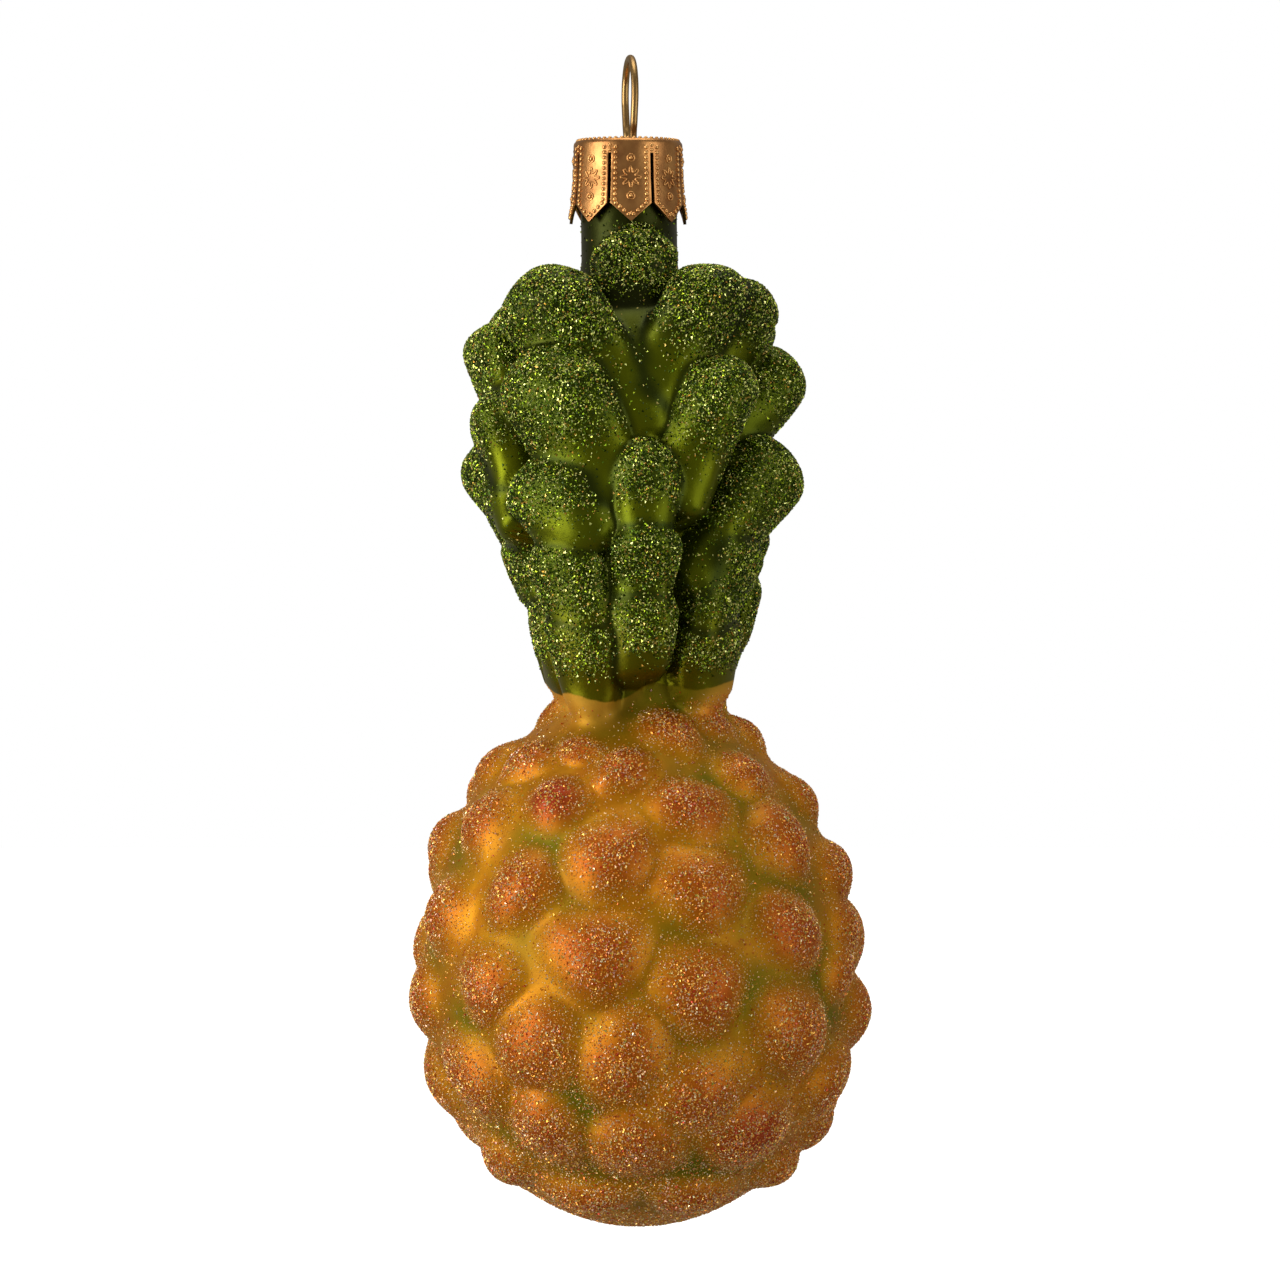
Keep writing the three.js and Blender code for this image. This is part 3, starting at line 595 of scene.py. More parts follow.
class Socket:
    """A node's output that takes part in Python arithmetic: each operation adds its Math node."""

    def __init__(self, tree, link):
        self.tree = tree
        self.link = link

    def math(self, operation, *values, clamp=False):
        settings = {"operation": operation, "use_clamp": clamp}
        return self.tree.node("ShaderNodeMath", settings, dict(enumerate(values)))

    def __add__(self, other):
        return self.math("ADD", self, other)

    def __sub__(self, other):
        return self.math("SUBTRACT", self, other)

    def __rsub__(self, other):
        return self.math("SUBTRACT", other, self)

    def __mul__(self, other):
        return self.math("MULTIPLY", self, other)

    def __pow__(self, other):
        return self.math("POWER", self, other)

    __radd__ = __add__
    __rmul__ = __mul__

    def beside(self, output):
        """Another output of the same node."""
        return Socket(self.tree, self.link.node.outputs[output])

    def clamped(self):
        return self.math("ADD", self, 0.0, clamp=True)

    def step(self, low, high):
        """0 below low, 1 above high, smooth between."""
        settings = {"interpolation_type": "SMOOTHSTEP"}
        sockets = {"Value": self, "From Min": low, "From Max": high}
        return self.tree.node("ShaderNodeMapRange", settings, sockets)


class Tree:
    """A node tree with one way to add a node: its type, its settings, then its sockets."""

    def __init__(self, nodes_tree):
        self.nodes_tree = nodes_tree

    def node(self, kind, settings=None, sockets=None, output=0):
        made = self.nodes_tree.nodes.new(kind)
        for key, value in (settings or {}).items():
            if key == "stops":
                self._set_stops(made.color_ramp, value)
            else:
                setattr(made, key, value)
        for key, value in (sockets or {}).items():
            self.fill(made.inputs[key], value)
        return Socket(self, made.outputs[output])

    def fill(self, socket, value):
        if isinstance(value, Socket):
            self.nodes_tree.links.new(value.link, socket)
        else:
            socket.default_value = value

    def mix(self, share, first, second):
        return self.node("ShaderNodeMix", {"data_type": "RGBA"}, {0: share, 6: first, 7: second}, output=2)

    @staticmethod
    def _set_stops(ramp, stops):
        while len(ramp.elements) < len(stops):
            ramp.elements.new(1.0)
        for element, (position, colour) in zip(ramp.elements, stops):
            element.position = position
            element.color = colour


class Finish(Tree):
    """A material with its Principled shader."""

    def __init__(self, name):
        self.material = bpy.data.materials.new(name)
        self.material.use_nodes = True
        super().__init__(self.material.node_tree)
        self.shader = self.nodes_tree.nodes["Principled BSDF"]

    def surface(self, **values):
        for name, value in values.items():
            self.fill(self.shader.inputs[name.replace("_", " ")], value)

    def place(self):
        return self.node("ShaderNodeTexCoord", output="Object")

    def attribute(self, name, output="Fac"):
        return self.node("ShaderNodeAttribute", {"attribute_name": name}, output=output)

    def noise(self, size, detail=2.0, roughness=0.5, distortion=0.0):
        """Noise whose grains are about size millimetres across."""
        sockets = {"Vector": self.place(), "Scale": 1 / (size * MM), "Detail": detail}
        sockets.update({"Roughness": roughness, "Distortion": distortion})
        return self.node("ShaderNodeTexNoise", None, sockets, output="Fac")

    def ramp(self, value, stops):
        return self.node("ShaderNodeValToRGB", {"stops": stops}, {"Fac": value}, output="Color")

    def bumped(self, height, depth):
        """The normal for a relief of so many millimetres."""
        return self.node("ShaderNodeBump", None, {"Height": height, "Distance": depth * MM, "Strength": 1.0})


def colour(red, green, blue):
    """A colour given as a paint chart does, 0 to 255, as the shader's linear light."""

    def linear(value):
        share = value / 255
        return share / 12.92 if share <= 0.04045 else ((share + 0.055) / 1.055) ** 2.4

    return (linear(red), linear(green), linear(blue), 1.0)


class Repeat(Tree):
    """A geometry tree with named inputs and a finish, run once on a base object to give a plain mesh."""

    def __init__(self, name, inputs):
        self.group = bpy.data.node_groups.new(name, "GeometryNodeTree")
        super().__init__(self.group)
        self.keys = {}
        for label, kind in {**inputs, "Finish": "NodeSocketMaterial"}.items():
            made = self.group.interface.new_socket(name=label, in_out="INPUT", socket_type=kind)
            self.keys[label] = made.identifier
        self.group.interface.new_socket(name="Geometry", in_out="OUTPUT", socket_type="NodeSocketGeometry")
        self.source = self.group.nodes.new("NodeGroupInput")
        self.sink = self.group.nodes.new("NodeGroupOutput")

    def given(self, label):
        return Socket(self, self.source.outputs[label])

    def stored(self, name, data_type="FLOAT"):
        """An attribute that the geometry carries."""
        return self.node("GeometryNodeInputNamedAttribute", {"data_type": data_type}, {"Name": name})

    def ends_with(self, geometry):
        real = self.node("GeometryNodeRealizeInstances", None, {"Geometry": geometry})
        sockets = {"Geometry": real, "Material": self.given("Finish")}
        painted = self.node("GeometryNodeSetMaterial", None, sockets)
        self.fill(self.sink.inputs["Geometry"], painted)

    def run(self, base, name, **values):
        modifier = base.modifiers.new(name, "NODES")
        modifier.node_group = self.group
        for label, value in values.items():
            modifier[self.keys[label.replace("_", " ")]] = value
        graph = bpy.context.evaluated_depsgraph_get()
        evaluated = base.evaluated_get(graph)
        mesh = bpy.data.meshes.new_from_object(evaluated, preserve_all_data_layers=True, depsgraph=graph)
        base.modifiers.remove(modifier)
        mesh.name = name
        return add_object(name, mesh)


# ---------- finishes ----------


def lacquered_glass():
    """Green and orange lacquers sprayed over silvered glass, with soft overspray between them and painted
    shade on the leaves.
    """
    finish = Finish("lacquer_over_silver")
    cloud = finish.noise(9, 3)
    fine = finish.noise(1.6, 3)
    crease = finish.attribute("crease")
    tip = finish.attribute("tip")
    bump = finish.attribute("bump")
    red = finish.attribute("red")
    green = finish.attribute("green")
    paint = finish.attribute("paint") + (fine - 0.5) * 0.5

    leaf = finish.mix((cloud * 1.6 - 0.3).clamped(), colour(60, 74, 0), colour(110, 116, 0))
    leaf = finish.mix((tip * 0.8).clamped(), leaf, colour(42, 56, 2))
    leaf = finish.mix(finish.attribute("foot") * 0.6, leaf, colour(100, 92, 2))
    # painted shade: the creases between the leaves are darkened where their shadow falls
    leaf = finish.mix((crease * 0.8).clamped(), leaf, colour(22, 34, 6))
    # painted shade: the neck is darkened towards the cap, where the cap's shadow falls
    leaf = finish.mix(finish.attribute("neck") * 0.9, leaf, colour(30, 34, 6))

    streak = finish.noise(6, 4, distortion=1.4)
    moss = finish.noise(7, 2, distortion=0.6)
    skin = finish.mix((cloud * 1.6 - 0.3).clamped(), colour(188, 122, 0), colour(210, 142, 6))
    skin = finish.mix((streak * 2.4 - 0.9).clamped(), skin, colour(174, 96, 0))
    waist = 1 - finish.attribute("paint").step(0.5, 4.0)
    skin = finish.mix(waist * 0.75, skin, colour(236, 176, 66))
    valley = 1 - bump.step(0.15, 0.65)
    green_share = (green * (0.8 + cloud) + (moss * 2 - 0.9).clamped() * 0.55) * valley
    green_share = green_share.clamped()
    skin = finish.mix(green_share, skin, colour(114, 106, 0))
    top = bump.step(0.35, 0.9)
    skin = finish.mix((top * (0.35 + fine * 0.7)).clamped(), skin, colour(172, 72, 8))
    skin = finish.mix((red * top).clamped(), skin, colour(156, 44, 20))

    edge = paint.step(-0.12, 0.12)
    finish.surface(
        Base_Color=finish.mix(edge, leaf, skin),
        Metallic=0.85 - edge * 0.3,
        Roughness=0.34 + fine * 0.1 + edge * (0.1 + green_share * 0.16),
        Coat_Weight=0.05 - green_share * 0.04,
        Coat_Roughness=0.3,
        Specular_IOR_Level=0.2,
        Normal=finish.bumped(cloud + fine * 0.25, 0.25),
    )
    return finish.material


def glitter_finish(name, stops, metallic, roughness):
    """Metallised flakes, each of its own colour; the near-white colours on some flakes are painted glints."""
    finish = Finish(name)
    grain = finish.attribute("grain")
    finish.surface(
        Base_Color=finish.ramp(grain, stops),
        Metallic=metallic,
        Roughness=roughness + grain * 0.15,
        Specular_IOR_Level=0.8,
    )
    return finish.material


def stamped_metal(name, bright, dull):
    """Pressed brass with darker patches strewn at random."""
    finish = Finish(name)
    cloud = finish.noise(2.6, 4)
    fine = finish.noise(0.35, 3)
    finish.surface(
        Base_Color=finish.mix((cloud * 2.4 - 0.7).clamped(), bright, dull),
        Metallic=1.0,
        Roughness=0.24 + cloud * 0.16 + fine * 0.06,
        Normal=finish.bumped(fine, 0.02),
    )
    return finish.material


def antique_wire():
    finish = Finish("hanger_brass")
    cloud = finish.noise(2.2, 3)
    tarnish = (cloud * 2.2 - 0.75).clamped()
    finish.surface(
        Base_Color=finish.mix(tarnish, colour(166, 134, 86), colour(112, 84, 50)),
        Metallic=1.0,
        Roughness=0.3 + tarnish * 0.2,
    )
    return finish.material


GREEN_GRAINS = [
    (0.0, colour(24, 42, 0)), (0.3, colour(56, 82, 0)), (0.54, colour(100, 126, 8)),
    # the near-white stop at 0.91 is a painted glint: some flakes are coloured white for their sparkle
    (0.76, colour(168, 188, 44)), (0.91, colour(238, 244, 160)), (0.985, colour(190, 140, 50)),
]
WARM_GRAINS = [
    (0.0, colour(180, 82, 14)), (0.2, colour(212, 116, 22)), (0.42, colour(232, 160, 40)),
    (0.62, colour(244, 204, 96)), (0.77, colour(222, 170, 158)), (0.83, colour(150, 156, 30)),
    # the near-white stop at 0.87 is a painted glint: some flakes are coloured white for their sparkle
    (0.87, colour(255, 244, 206)), (0.96, colour(190, 52, 20)),
]
PALE_GRAINS = [
    (0.0, colour(200, 124, 24)), (0.25, colour(218, 158, 60)), (0.5, colour(232, 196, 132)),
    (0.75, colour(244, 222, 190)), (0.92, colour(160, 160, 70)),
]


# ---------- glitter ----------

GRAIN_TILT = 0.8  # radians either way from lying flat
CLUMP_SIZE = 2.0  # how far apart the denser patches lie


def make_glitter(glass, name, where, per_mm2, grain, seed, material):
    """Three-sided flakes on the glass, as dense as the named mask says."""
    tree = Repeat(name + "_tree", {
        "Glass": "NodeSocketGeometry",
        "Most per square metre": "NodeSocketFloat",
        "Grain": "NodeSocketFloat",
    })
    share = tree.stored(where)
    clumps = tree.node("ShaderNodeTexNoise", None, {"Scale": 1 / (CLUMP_SIZE * MM), "Detail": 2.0})
    density = share * (clumps * 3 - 0.5) * tree.given("Most per square metre")
    places = tree.node("GeometryNodeDistributePointsOnFaces", None, {
        "Mesh": tree.given("Glass"),
        "Density": density,
        "Seed": seed,
    })
    tilt = tree.node(
        "FunctionNodeRandomValue",
        {"data_type": "FLOAT_VECTOR"},
        {0: (-GRAIN_TILT, -GRAIN_TILT, -math.pi), 1: (GRAIN_TILT, GRAIN_TILT, math.pi), "Seed": seed + 1},
    )
    turned = tree.node(
        "FunctionNodeRotateRotation",
        {"rotation_space": "LOCAL"},
        {"Rotation": places.beside("Rotation"), "Rotate By": tilt},
    )
    size = tree.node(
        "FunctionNodeRandomValue", {"data_type": "FLOAT"}, {2: 0.7, 3: 1.25, "Seed": seed + 2}, output=1
    )
    flake = tree.node(
        "GeometryNodeMeshCone",
        {"fill_type": "NGON"},
        {"Vertices": 3, "Radius Top": 0.0, "Radius Bottom": 0.5, "Depth": 0.35},
    )
    placed = tree.node("GeometryNodeInstanceOnPoints", None, {
        "Points": places,
        "Instance": flake,
        "Rotation": turned,
        "Scale": size * tree.given("Grain"),
    })
    shade = tree.node(
        "FunctionNodeRandomValue", {"data_type": "FLOAT"}, {2: 0.0, 3: 1.0, "Seed": seed + 3}, output=1
    )
    marked = tree.node(
        "GeometryNodeStoreNamedAttribute",
        {"data_type": "FLOAT", "domain": "INSTANCE"},
        {"Geometry": placed, "Name": "grain", "Value": shade},
    )
    tree.ends_with(marked)
    return tree.run(glass, name, Most_per_square_metre=per_mm2 / MM ** 2, Grain=grain * MM, Finish=material)


# ---------- cap ----------

CAP_SHEET = 0.3
CAP_CORNER = 0.5
CAP_OUTSIDE = 5.45
TAB_COUNT = 8
TAB_TURN = 3.2
TAB_START = 1.5
TAB_SHOULDER = 6.5
TAB_LENGTH = 8.3
TAB_SLOT = 0.35
TAB_FLARE = 0.4
TAB_BOW = 0.12  # how far a tab's edges stand out from the drum's round
CELLS_PER_TAB = 14
EDGE_ROUNDING = 0.05
TAB_HALF = math.pi * CAP_OUTSIDE / TAB_COUNT - TAB_SLOT / 2
CAP_TOP = cap_high.z


def cap_radius(depth):
    """The outside radius of the cap so far below its top."""
    if depth < CAP_CORNER:
        rise = CAP_CORNER - depth
        return CAP_OUTSIDE - CAP_CORNER + math.sqrt(CAP_CORNER ** 2 - rise ** 2)
    flare_start = TAB_SHOULDER * 0.6
    flare = max(depth - flare_start, 0) / (TAB_LENGTH - flare_start)
    return CAP_OUTSIDE + TAB_FLARE * flare


def cap_point(tab, across, depth, lift=0.0):
    """A point on a tab: so far across from its middle and below the cap's top, lifted off the sheet."""
    below_slot = min(max((depth - TAB_START) / 2, 0), 1)
    bow = TAB_BOW * below_slot * (across / TAB_HALF) ** 2
    bearing = TAB_TURN + tab * 360 / TAB_COUNT + math.degrees(across / CAP_OUTSIDE)
    point = polar(bearing, cap_radius(depth) + bow + lift, CAP_TOP - depth)
    return point + (NECK_OFFSET, 0, 0)


def tab_half_width(depth):
    point_share = (depth - TAB_SHOULDER) / (TAB_LENGTH - TAB_SHOULDER)
    return TAB_HALF * min(1, 1 - point_share * 0.97)


def make_cap_shell(material):
    """The sheet: a flat top with a rounded edge, a drum, and tabs between slots."""
    ring_size = TAB_COUNT * (CELLS_PER_TAB + 1)
    points, faces = [], []

    def ring_places():
        """Where each column of a full ring lies: its tab and how far across."""
        for tab in range(TAB_COUNT):
            for cell in range(CELLS_PER_TAB + 1):
                yield tab, (2 * cell / CELLS_PER_TAB - 1) * TAB_HALF

    points.append(polar(0, 0, CAP_TOP) + (NECK_OFFSET, 0, 0))
    flat_radii = np.linspace(0.12, 0.97, 9) * (CAP_OUTSIDE - CAP_CORNER)
    corner_depths = [CAP_CORNER * (1 - math.cos(math.radians(turn))) for turn in (0, 22, 45, 67, 90)]
    drum_depths = np.linspace(CAP_CORNER, TAB_START, 5)[1:]
    for radius in flat_radii:
        for tab, across in ring_places():
            bearing = TAB_TURN + tab * 360 / TAB_COUNT + math.degrees(across / CAP_OUTSIDE)
            points.append(polar(bearing, radius, CAP_TOP) + (NECK_OFFSET, 0, 0))
    for depth in [*corner_depths, *drum_depths]:
        for tab, across in ring_places():
            points.append(cap_point(tab, across, depth))
    ring_count = len(flat_radii) + len(corner_depths) + len(drum_depths)
    for column in range(ring_size):
        faces.append((0, 1 + column, 1 + (column + 1) % ring_size))
    for ring in range(ring_count - 1):
        upper = 1 + ring * ring_size
        lower = upper + ring_size
        for column in range(ring_size):
            after = (column + 1) % ring_size
            faces.append((upper + column, lower + column, lower + after, upper + after))
    last_ring = 1 + (ring_count - 1) * ring_size
    side_depths = np.linspace(TAB_START, TAB_SHOULDER, 19)[1:]
    tab_depths = [*side_depths, *np.linspace(TAB_SHOULDER, TAB_LENGTH, 11)[1:]]
    for tab in range(TAB_COUNT):
        above = [last_ring + tab * (CELLS_PER_TAB + 1) + cell for cell in range(CELLS_PER_TAB + 1)]
        for depth in tab_depths:
            row = []
            for cell in range(CELLS_PER_TAB + 1):
                across = (2 * cell / CELLS_PER_TAB - 1) * tab_half_width(depth)
                row.append(len(points))
                points.append(cap_point(tab, across, depth))
            for cell in range(CELLS_PER_TAB):
                faces.append((above[cell], row[cell], row[cell + 1], above[cell + 1]))
            above = row
    shell = add_mesh("cap_sheet", points, faces)
    thickness = shell.modifiers.new("sheet", "SOLIDIFY")
    thickness.thickness = CAP_SHEET * MM
    thickness.offset = -1
    thickness.use_even_offset = True
    edges = shell.modifiers.new("rounded_edges", "BEVEL")
    edges.width = EDGE_ROUNDING * MM
    edges.segments = 2
    edges.limit_method = "ANGLE"
    edges.angle_limit = math.radians(50)
    drills = [wire_drill(side) for side in (-1, 1)]
    for drill in drills:
        cut = shell.modifiers.new("wire_hole", "BOOLEAN")
        cut.operation = "DIFFERENCE"
        cut.solver = "EXACT"
        cut.object = drill
    graph = bpy.context.evaluated_depsgraph_get()
    result = bpy.data.meshes.new_from_object(shell.evaluated_get(graph), depsgraph=graph)
    shell.modifiers.clear()
    shell.data = result
    result.name = "cap_sheet"
    for drill in drills:
        bpy.data.objects.remove(drill)
    result.materials.clear()
    result.materials.append(material)
    shade_smooth(result)
    result.set_sharp_from_angle(angle=math.radians(40))
    return shell


def line_on_cap(tab, outline):
    """The points of a closed line stamped on a tab, from places across and down it."""
    return [cap_point(tab, across, depth, 0.02) for across, depth in outline]


STAR_DEPTH = 3.95
RING_DEPTHS = (2.05, 5.8)
RING_RADIUS = 0.36
LINE_RADIUS = 0.09
BEAD = 0.46
BEAD_MARGIN = 0.42
RIM_BEADS = 52


def star_outline():
    outline = []
    for turn in np.radians(np.arange(0, 360, 5)):
        radius = 0.74 + 0.3 * math.cos(8 * turn)
        outline.append((radius * math.sin(turn), STAR_DEPTH + radius * math.cos(turn)))
    return outline


def ring_outline(depth):
    turns = np.radians(np.arange(0, 360, 20))
    return [(RING_RADIUS * math.sin(turn), depth + RING_RADIUS * math.cos(turn)) for turn in turns]


def bead_places():
    """Where the stamped beads lie on a tab: down both edges, along the point, and the ring centres."""
    places = []
    side = TAB_HALF - BEAD_MARGIN
    for depth in np.arange(0.95, TAB_SHOULDER - 0.1, 0.52):
        places += [(-side, depth), (side, depth)]
    slant = Vector((TAB_HALF, TAB_LENGTH - TAB_SHOULDER))
    inset = BEAD_MARGIN * slant.length / slant.y
    for depth in np.arange(TAB_SHOULDER + 0.02, TAB_LENGTH - 0.55, 0.38):
        across = tab_half_width(depth) - inset * 0.8
        if across > 0.15:
            places += [(-across, depth), (across, depth)]
    places.append((0, TAB_LENGTH - 0.75))
    places += [(0, depth) for depth in RING_DEPTHS]
    return places


def make_cap_lines(material):
    points, edges = [], []
    for tab in range(TAB_COUNT):
        for outline in (star_outline(), *(ring_outline(depth) for depth in RING_DEPTHS)):
            start = len(points)
            points += line_on_cap(tab, outline)
            count = len(outline)
            edges += [(start + i, start + (i + 1) % count) for i in range(count)]
    base = add_mesh("stamped_paths", points, [], edges)
    tree = Repeat("stamped_line", {
        "Paths": "NodeSocketGeometry",
        "Line radius": "NodeSocketFloat",
    })
    curve = tree.node("GeometryNodeMeshToCurve", None, {"Mesh": tree.given("Paths")})
    section = tree.node("GeometryNodeCurvePrimitiveCircle", None, {
        "Resolution": 6,
        "Radius": tree.given("Line radius"),
    })
    line = tree.node("GeometryNodeCurveToMesh", None, {"Curve": curve, "Profile Curve": section})
    tree.ends_with(line)
    lines = tree.run(base, "cap_stamped_lines", Line_radius=LINE_RADIUS * MM, Finish=material)
    bpy.data.objects.remove(base)
    shade_smooth(lines.data)
    return lines


def make_cap_beads(material):
    points, normals, sizes = [], [], []
    for tab in range(TAB_COUNT):
        for across, depth in bead_places():
            point = cap_point(tab, across, depth)
            points.append(point)
            normals.append(cap_point(tab, across, depth, 1.0) - point)
            sizes.append(1.0)
        slot_bearing = TAB_TURN + (tab + 0.5) * 360 / TAB_COUNT
        for depth in (0.75, 1.2):
            outwards = polar(slot_bearing, 1, 0)
            points.append(outwards * cap_radius(depth) + (NECK_OFFSET, 0, CAP_TOP - depth))
            normals.append(outwards)
            sizes.append(0.85)
    for i in range(RIM_BEADS):
        outwards = polar(360 * i / RIM_BEADS, 1, 0)
        points.append(outwards * (CAP_OUTSIDE - BEAD_MARGIN) + (NECK_OFFSET, 0, CAP_TOP - 0.02))
        normals.append(unit(outwards * 0.4 + (0, 0, 1)))
        sizes.append(0.9)
    mesh = mesh_from("bead_places", points, [])
    layer = mesh.attributes.new("outwards", "FLOAT_VECTOR", "POINT")
    layer.data.foreach_set("vector", np.asarray(normals, np.float32).ravel())
    add_attribute(mesh, "size", sizes)
    base = add_object("bead_places", mesh)
    tree = Repeat("stamped_bead", {
        "Places": "NodeSocketGeometry",
        "Bead": "NodeSocketFloat",
    })
    outwards = tree.stored("outwards", "FLOAT_VECTOR")
    size = tree.stored("size")
    facing = tree.node("FunctionNodeAlignRotationToVector", {"axis": "Z"}, {"Vector": outwards})
    bead = tree.node("GeometryNodeMeshUVSphere", None, {"Segments": 10, "Rings": 6, "Radius": 0.5})
    low_bead = tree.node("GeometryNodeTransform", None, {"Geometry": bead, "Scale": (1.0, 1.0, 0.85)})
    placed = tree.node("GeometryNodeInstanceOnPoints", None, {
        "Points": tree.node("GeometryNodeMeshToPoints", None, {"Mesh": tree.given("Places")}),
        "Instance": low_bead,
        "Rotation": facing,
        "Scale": size * tree.given("Bead"),
    })
    tree.ends_with(placed)
    beads = tree.run(base, "cap_beads", Bead=BEAD * MM, Finish=material)
    bpy.data.objects.remove(base)
    shade_smooth(beads.data)
    return beads


# ---------- hanger ----------

WIRE_DIAMETER = 0.75
LOOP_RADIUS = 3.6
LOOP_ARC = 108
LOOP_TURN = 7.9
LEG_LENGTH = 12.0
LEG_GAP = 0.3
HOLE_CLEARANCE = 0.3
LOOP_CENTRE = WIRE_DIAMETER / 2 - LOOP_RADIUS
HOLE_HEIGHT = CAP_TOP - CAP_SHEET / 2
ARC_END_ASIDE = LOOP_RADIUS * math.sin(math.radians(LOOP_ARC))
ARC_END_HEIGHT = LOOP_CENTRE + LOOP_RADIUS * math.cos(math.radians(LOOP_ARC))
HOLE_ASIDE = ARC_END_ASIDE + (ARC_END_HEIGHT - HOLE_HEIGHT) / math.tan(math.radians(LOOP_ARC))
FOOT_ASIDE = NECK_RADIUS - NECK_WALL - LEG_GAP - WIRE_DIAMETER / 2 - abs(NECK_OFFSET)


def wire_point(aside, height):
    return polar(LOOP_TURN, aside, height)


def wire_drill(side):
    """A rod as wide as a wire hole, through the cap's top where a leg passes."""
    bore = WIRE_DIAMETER / 2 + HOLE_CLEARANCE
    steps = 24
    centre = wire_point(side * HOLE_ASIDE, HOLE_HEIGHT)
    ring = [polar(360 * i / steps, bore, 0) for i in range(steps)]
    points = [centre + p + (0, 0, 1) for p in ring] + [centre + p - (0, 0, 1) for p in ring]
    faces = [(i, steps + i, steps + (i + 1) % steps, (i + 1) % steps) for i in range(steps)]
    faces += [tuple(range(steps)), tuple(reversed(range(steps, 2 * steps)))]
    return add_mesh("wire_drill", points, faces)


def wire_route():
    """The wire's centre line, from one foot up round the loop and down to the other."""
    half = []
    for turn in np.linspace(0, LOOP_ARC, 13):
        angle = math.radians(turn)
        half.append((LOOP_RADIUS * math.sin(angle), LOOP_CENTRE + LOOP_RADIUS * math.cos(angle)))
    half.append(((ARC_END_ASIDE + HOLE_ASIDE) / 2, (ARC_END_HEIGHT + HOLE_HEIGHT) / 2))
    half.append((HOLE_ASIDE, HOLE_HEIGHT))
    half.append(((HOLE_ASIDE + FOOT_ASIDE) / 2, CAP_TOP - LEG_LENGTH / 2))
    half.append((FOOT_ASIDE, CAP_TOP - LEG_LENGTH))
    other = [wire_point(-aside, height) for aside, height in half[:0:-1]]
    return other + [wire_point(aside, height) for aside, height in half]


def make_hanger(material):
    route = wire_route()
    edges = [(i, i + 1) for i in range(len(route) - 1)]
    base = add_mesh("wire_route", route, [], edges)
    tree = Repeat("bent_wire", {
        "Route": "NodeSocketGeometry",
        "Wire radius": "NodeSocketFloat",
    })
    curve = tree.node("GeometryNodeMeshToCurve", None, {"Mesh": tree.given("Route")})
    smooth = tree.node("GeometryNodeCurveSplineType", {"spline_type": "CATMULL_ROM"}, {"Curve": curve})
    dense = tree.node("GeometryNodeResampleCurve", None, {"Curve": smooth, "Count": 200})
    section = tree.node("GeometryNodeCurvePrimitiveCircle", None, {
        "Resolution": 20,
        "Radius": tree.given("Wire radius"),
    })
    wire = tree.node("GeometryNodeCurveToMesh", None, {
        "Curve": dense,
        "Profile Curve": section,
        "Fill Caps": True,
    })
    tree.ends_with(wire)
    hanger = tree.run(base, "wire_hanger", Wire_radius=WIRE_DIAMETER / 2 * MM, Finish=material)
    bpy.data.objects.remove(base)
    shade_smooth(hanger.data)
    return hanger


# ---------- the ornament ----------

glass = make_glass()
glass.data.materials.append(lacquered_glass())
GLITTER = [
    ("leaf_sparkle", "leaf_glitter", 13.8, 0.34, 11, GREEN_GRAINS, 0.9, 0.22),
    ("leaf_grains", "leaf_glitter", 13.8, 0.27, 13, GREEN_GRAINS, 0.7, 0.3),
    ("leaf_dust", "leaf_glitter", 13.8, 0.21, 17, GREEN_GRAINS, 0.5, 0.4),
    ("bump_sparkle", "bump_sparkle", 14.0, 0.33, 23, WARM_GRAINS, 0.55, 0.22),
    ("bump_grains", "bump_sparkle", 17.0, 0.24, 37, WARM_GRAINS, 0.3, 0.35),
    ("bump_sugar", "bump_dust", 10.0, 0.2, 41, PALE_GRAINS, 0.5, 0.35),
    ("bump_dust", "bump_dust", 10.0, 0.17, 43, WARM_GRAINS, 0.4, 0.4),
]
glitters = [
    make_glitter(glass, name, where, per_mm2, grain, seed, glitter_finish(name, stops, metallic, roughness))
    for name, where, per_mm2, grain, seed, stops, metallic, roughness in GLITTER
]
sheet_gold = stamped_metal("cap_sheet_gold", colour(214, 158, 98), colour(140, 92, 56))
stamped_gold = stamped_metal("cap_stamped_gold", colour(240, 188, 122), colour(190, 134, 80))
cap_pieces = [make_cap_shell(sheet_gold), make_cap_lines(stamped_gold), make_cap_beads(stamped_gold)]
hanger = make_hanger(antique_wire())

for piece in (glass, *glitters):
    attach(piece, "root")
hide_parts("glass_body")
for piece in cap_pieces:
    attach(piece, "root")
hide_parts("cap")
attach(hanger, "root")
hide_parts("hanger")

# ---------- studio ----------

VIEW_DISTANCE = 0.65
VIEW_HEIGHT = (glass_low.z + wire_high.z) / 2 * MM
FLOOR_HEIGHT = -0.175
FLOOR_HALF = 3.0
LIT_AT = Vector((0, 0, -0.06))
LIGHT_TINT = (1, 0.97, 0.89)


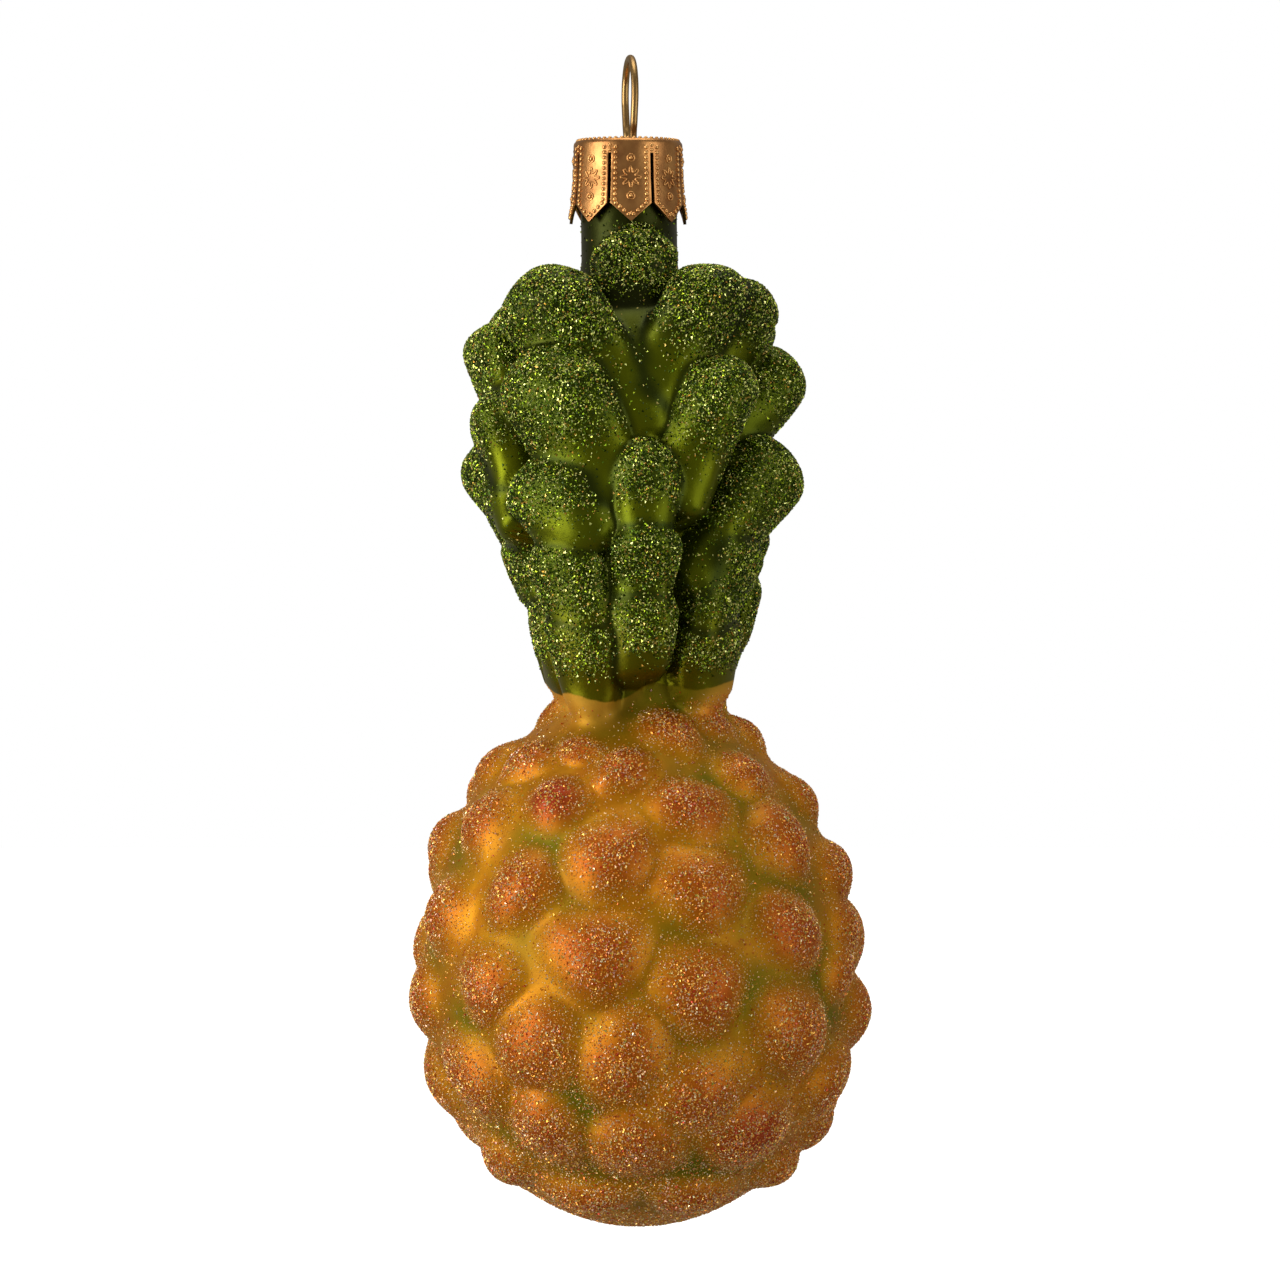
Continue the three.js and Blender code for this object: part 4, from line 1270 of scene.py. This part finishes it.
def make_camera():
    camera_data = bpy.data.cameras.new("camera")
    camera_data.sensor_width = 36
    camera_data.lens = 182.8
    camera_data.clip_start = 0.01
    camera = bpy.data.objects.new("camera", camera_data)
    camera.location = (0.001, -VIEW_DISTANCE, VIEW_HEIGHT)
    camera.rotation_euler = (math.pi / 2, 0, 0)
    bpy.context.collection.objects.link(camera)
    bpy.context.scene.camera = camera


def add_softbox(name, location, size, power):
    light = bpy.data.lights.new(name, "AREA")
    light.shape = "RECTANGLE"
    light.size, light.size_y = size
    light.energy = power
    light.color = LIGHT_TINT
    lamp = bpy.data.objects.new(name, light)
    lamp.location = location
    lamp.rotation_euler = (LIT_AT - Vector(location)).to_track_quat("-Z", "Y").to_euler()
    bpy.context.collection.objects.link(lamp)


def make_stage():
    finish = Finish("studio_white")
    finish.surface(
        Base_Color=(0.9, 0.9, 0.9, 1),
        Roughness=0.9,
        Emission_Color=(1, 1, 1, 1),
        Emission_Strength=1.0,
    )
    far = FLOOR_HALF / MM
    corners = [(x, y, FLOOR_HEIGHT / MM) for x, y in ((-far, -far), (far, -far), (far, far), (-far, far))]
    floor = add_mesh("studio_floor", corners, [(0, 1, 2, 3)])
    floor.data.materials.append(finish.material)
    floor.visible_glossy = False
    floor.visible_diffuse = False


def make_world():
    world = bpy.data.worlds.new("studio")
    world.use_nodes = True
    tree = Tree(world.node_tree)
    seen = tree.node("ShaderNodeLightPath", output="Is Camera Ray")
    background = world.node_tree.nodes["Background"]
    tree.fill(background.inputs["Color"], tree.mix(seen, (1, 0.94, 0.78, 1), (1, 1, 1, 1)))
    tree.fill(background.inputs["Strength"], seen * 0.7 + 0.3)
    bpy.context.scene.world = world


make_camera()
make_stage()
make_world()
add_softbox("key", (-0.44, -0.22, -0.08), (0.3, 0.6), 3.25)
add_softbox("fill", (0.42, -0.3, -0.08), (0.3, 0.6), 1.0)
add_softbox("top", (0.0, 0.05, 0.45), (0.4, 0.4), 1.5)
bpy.context.scene.view_settings.view_transform = "Standard"
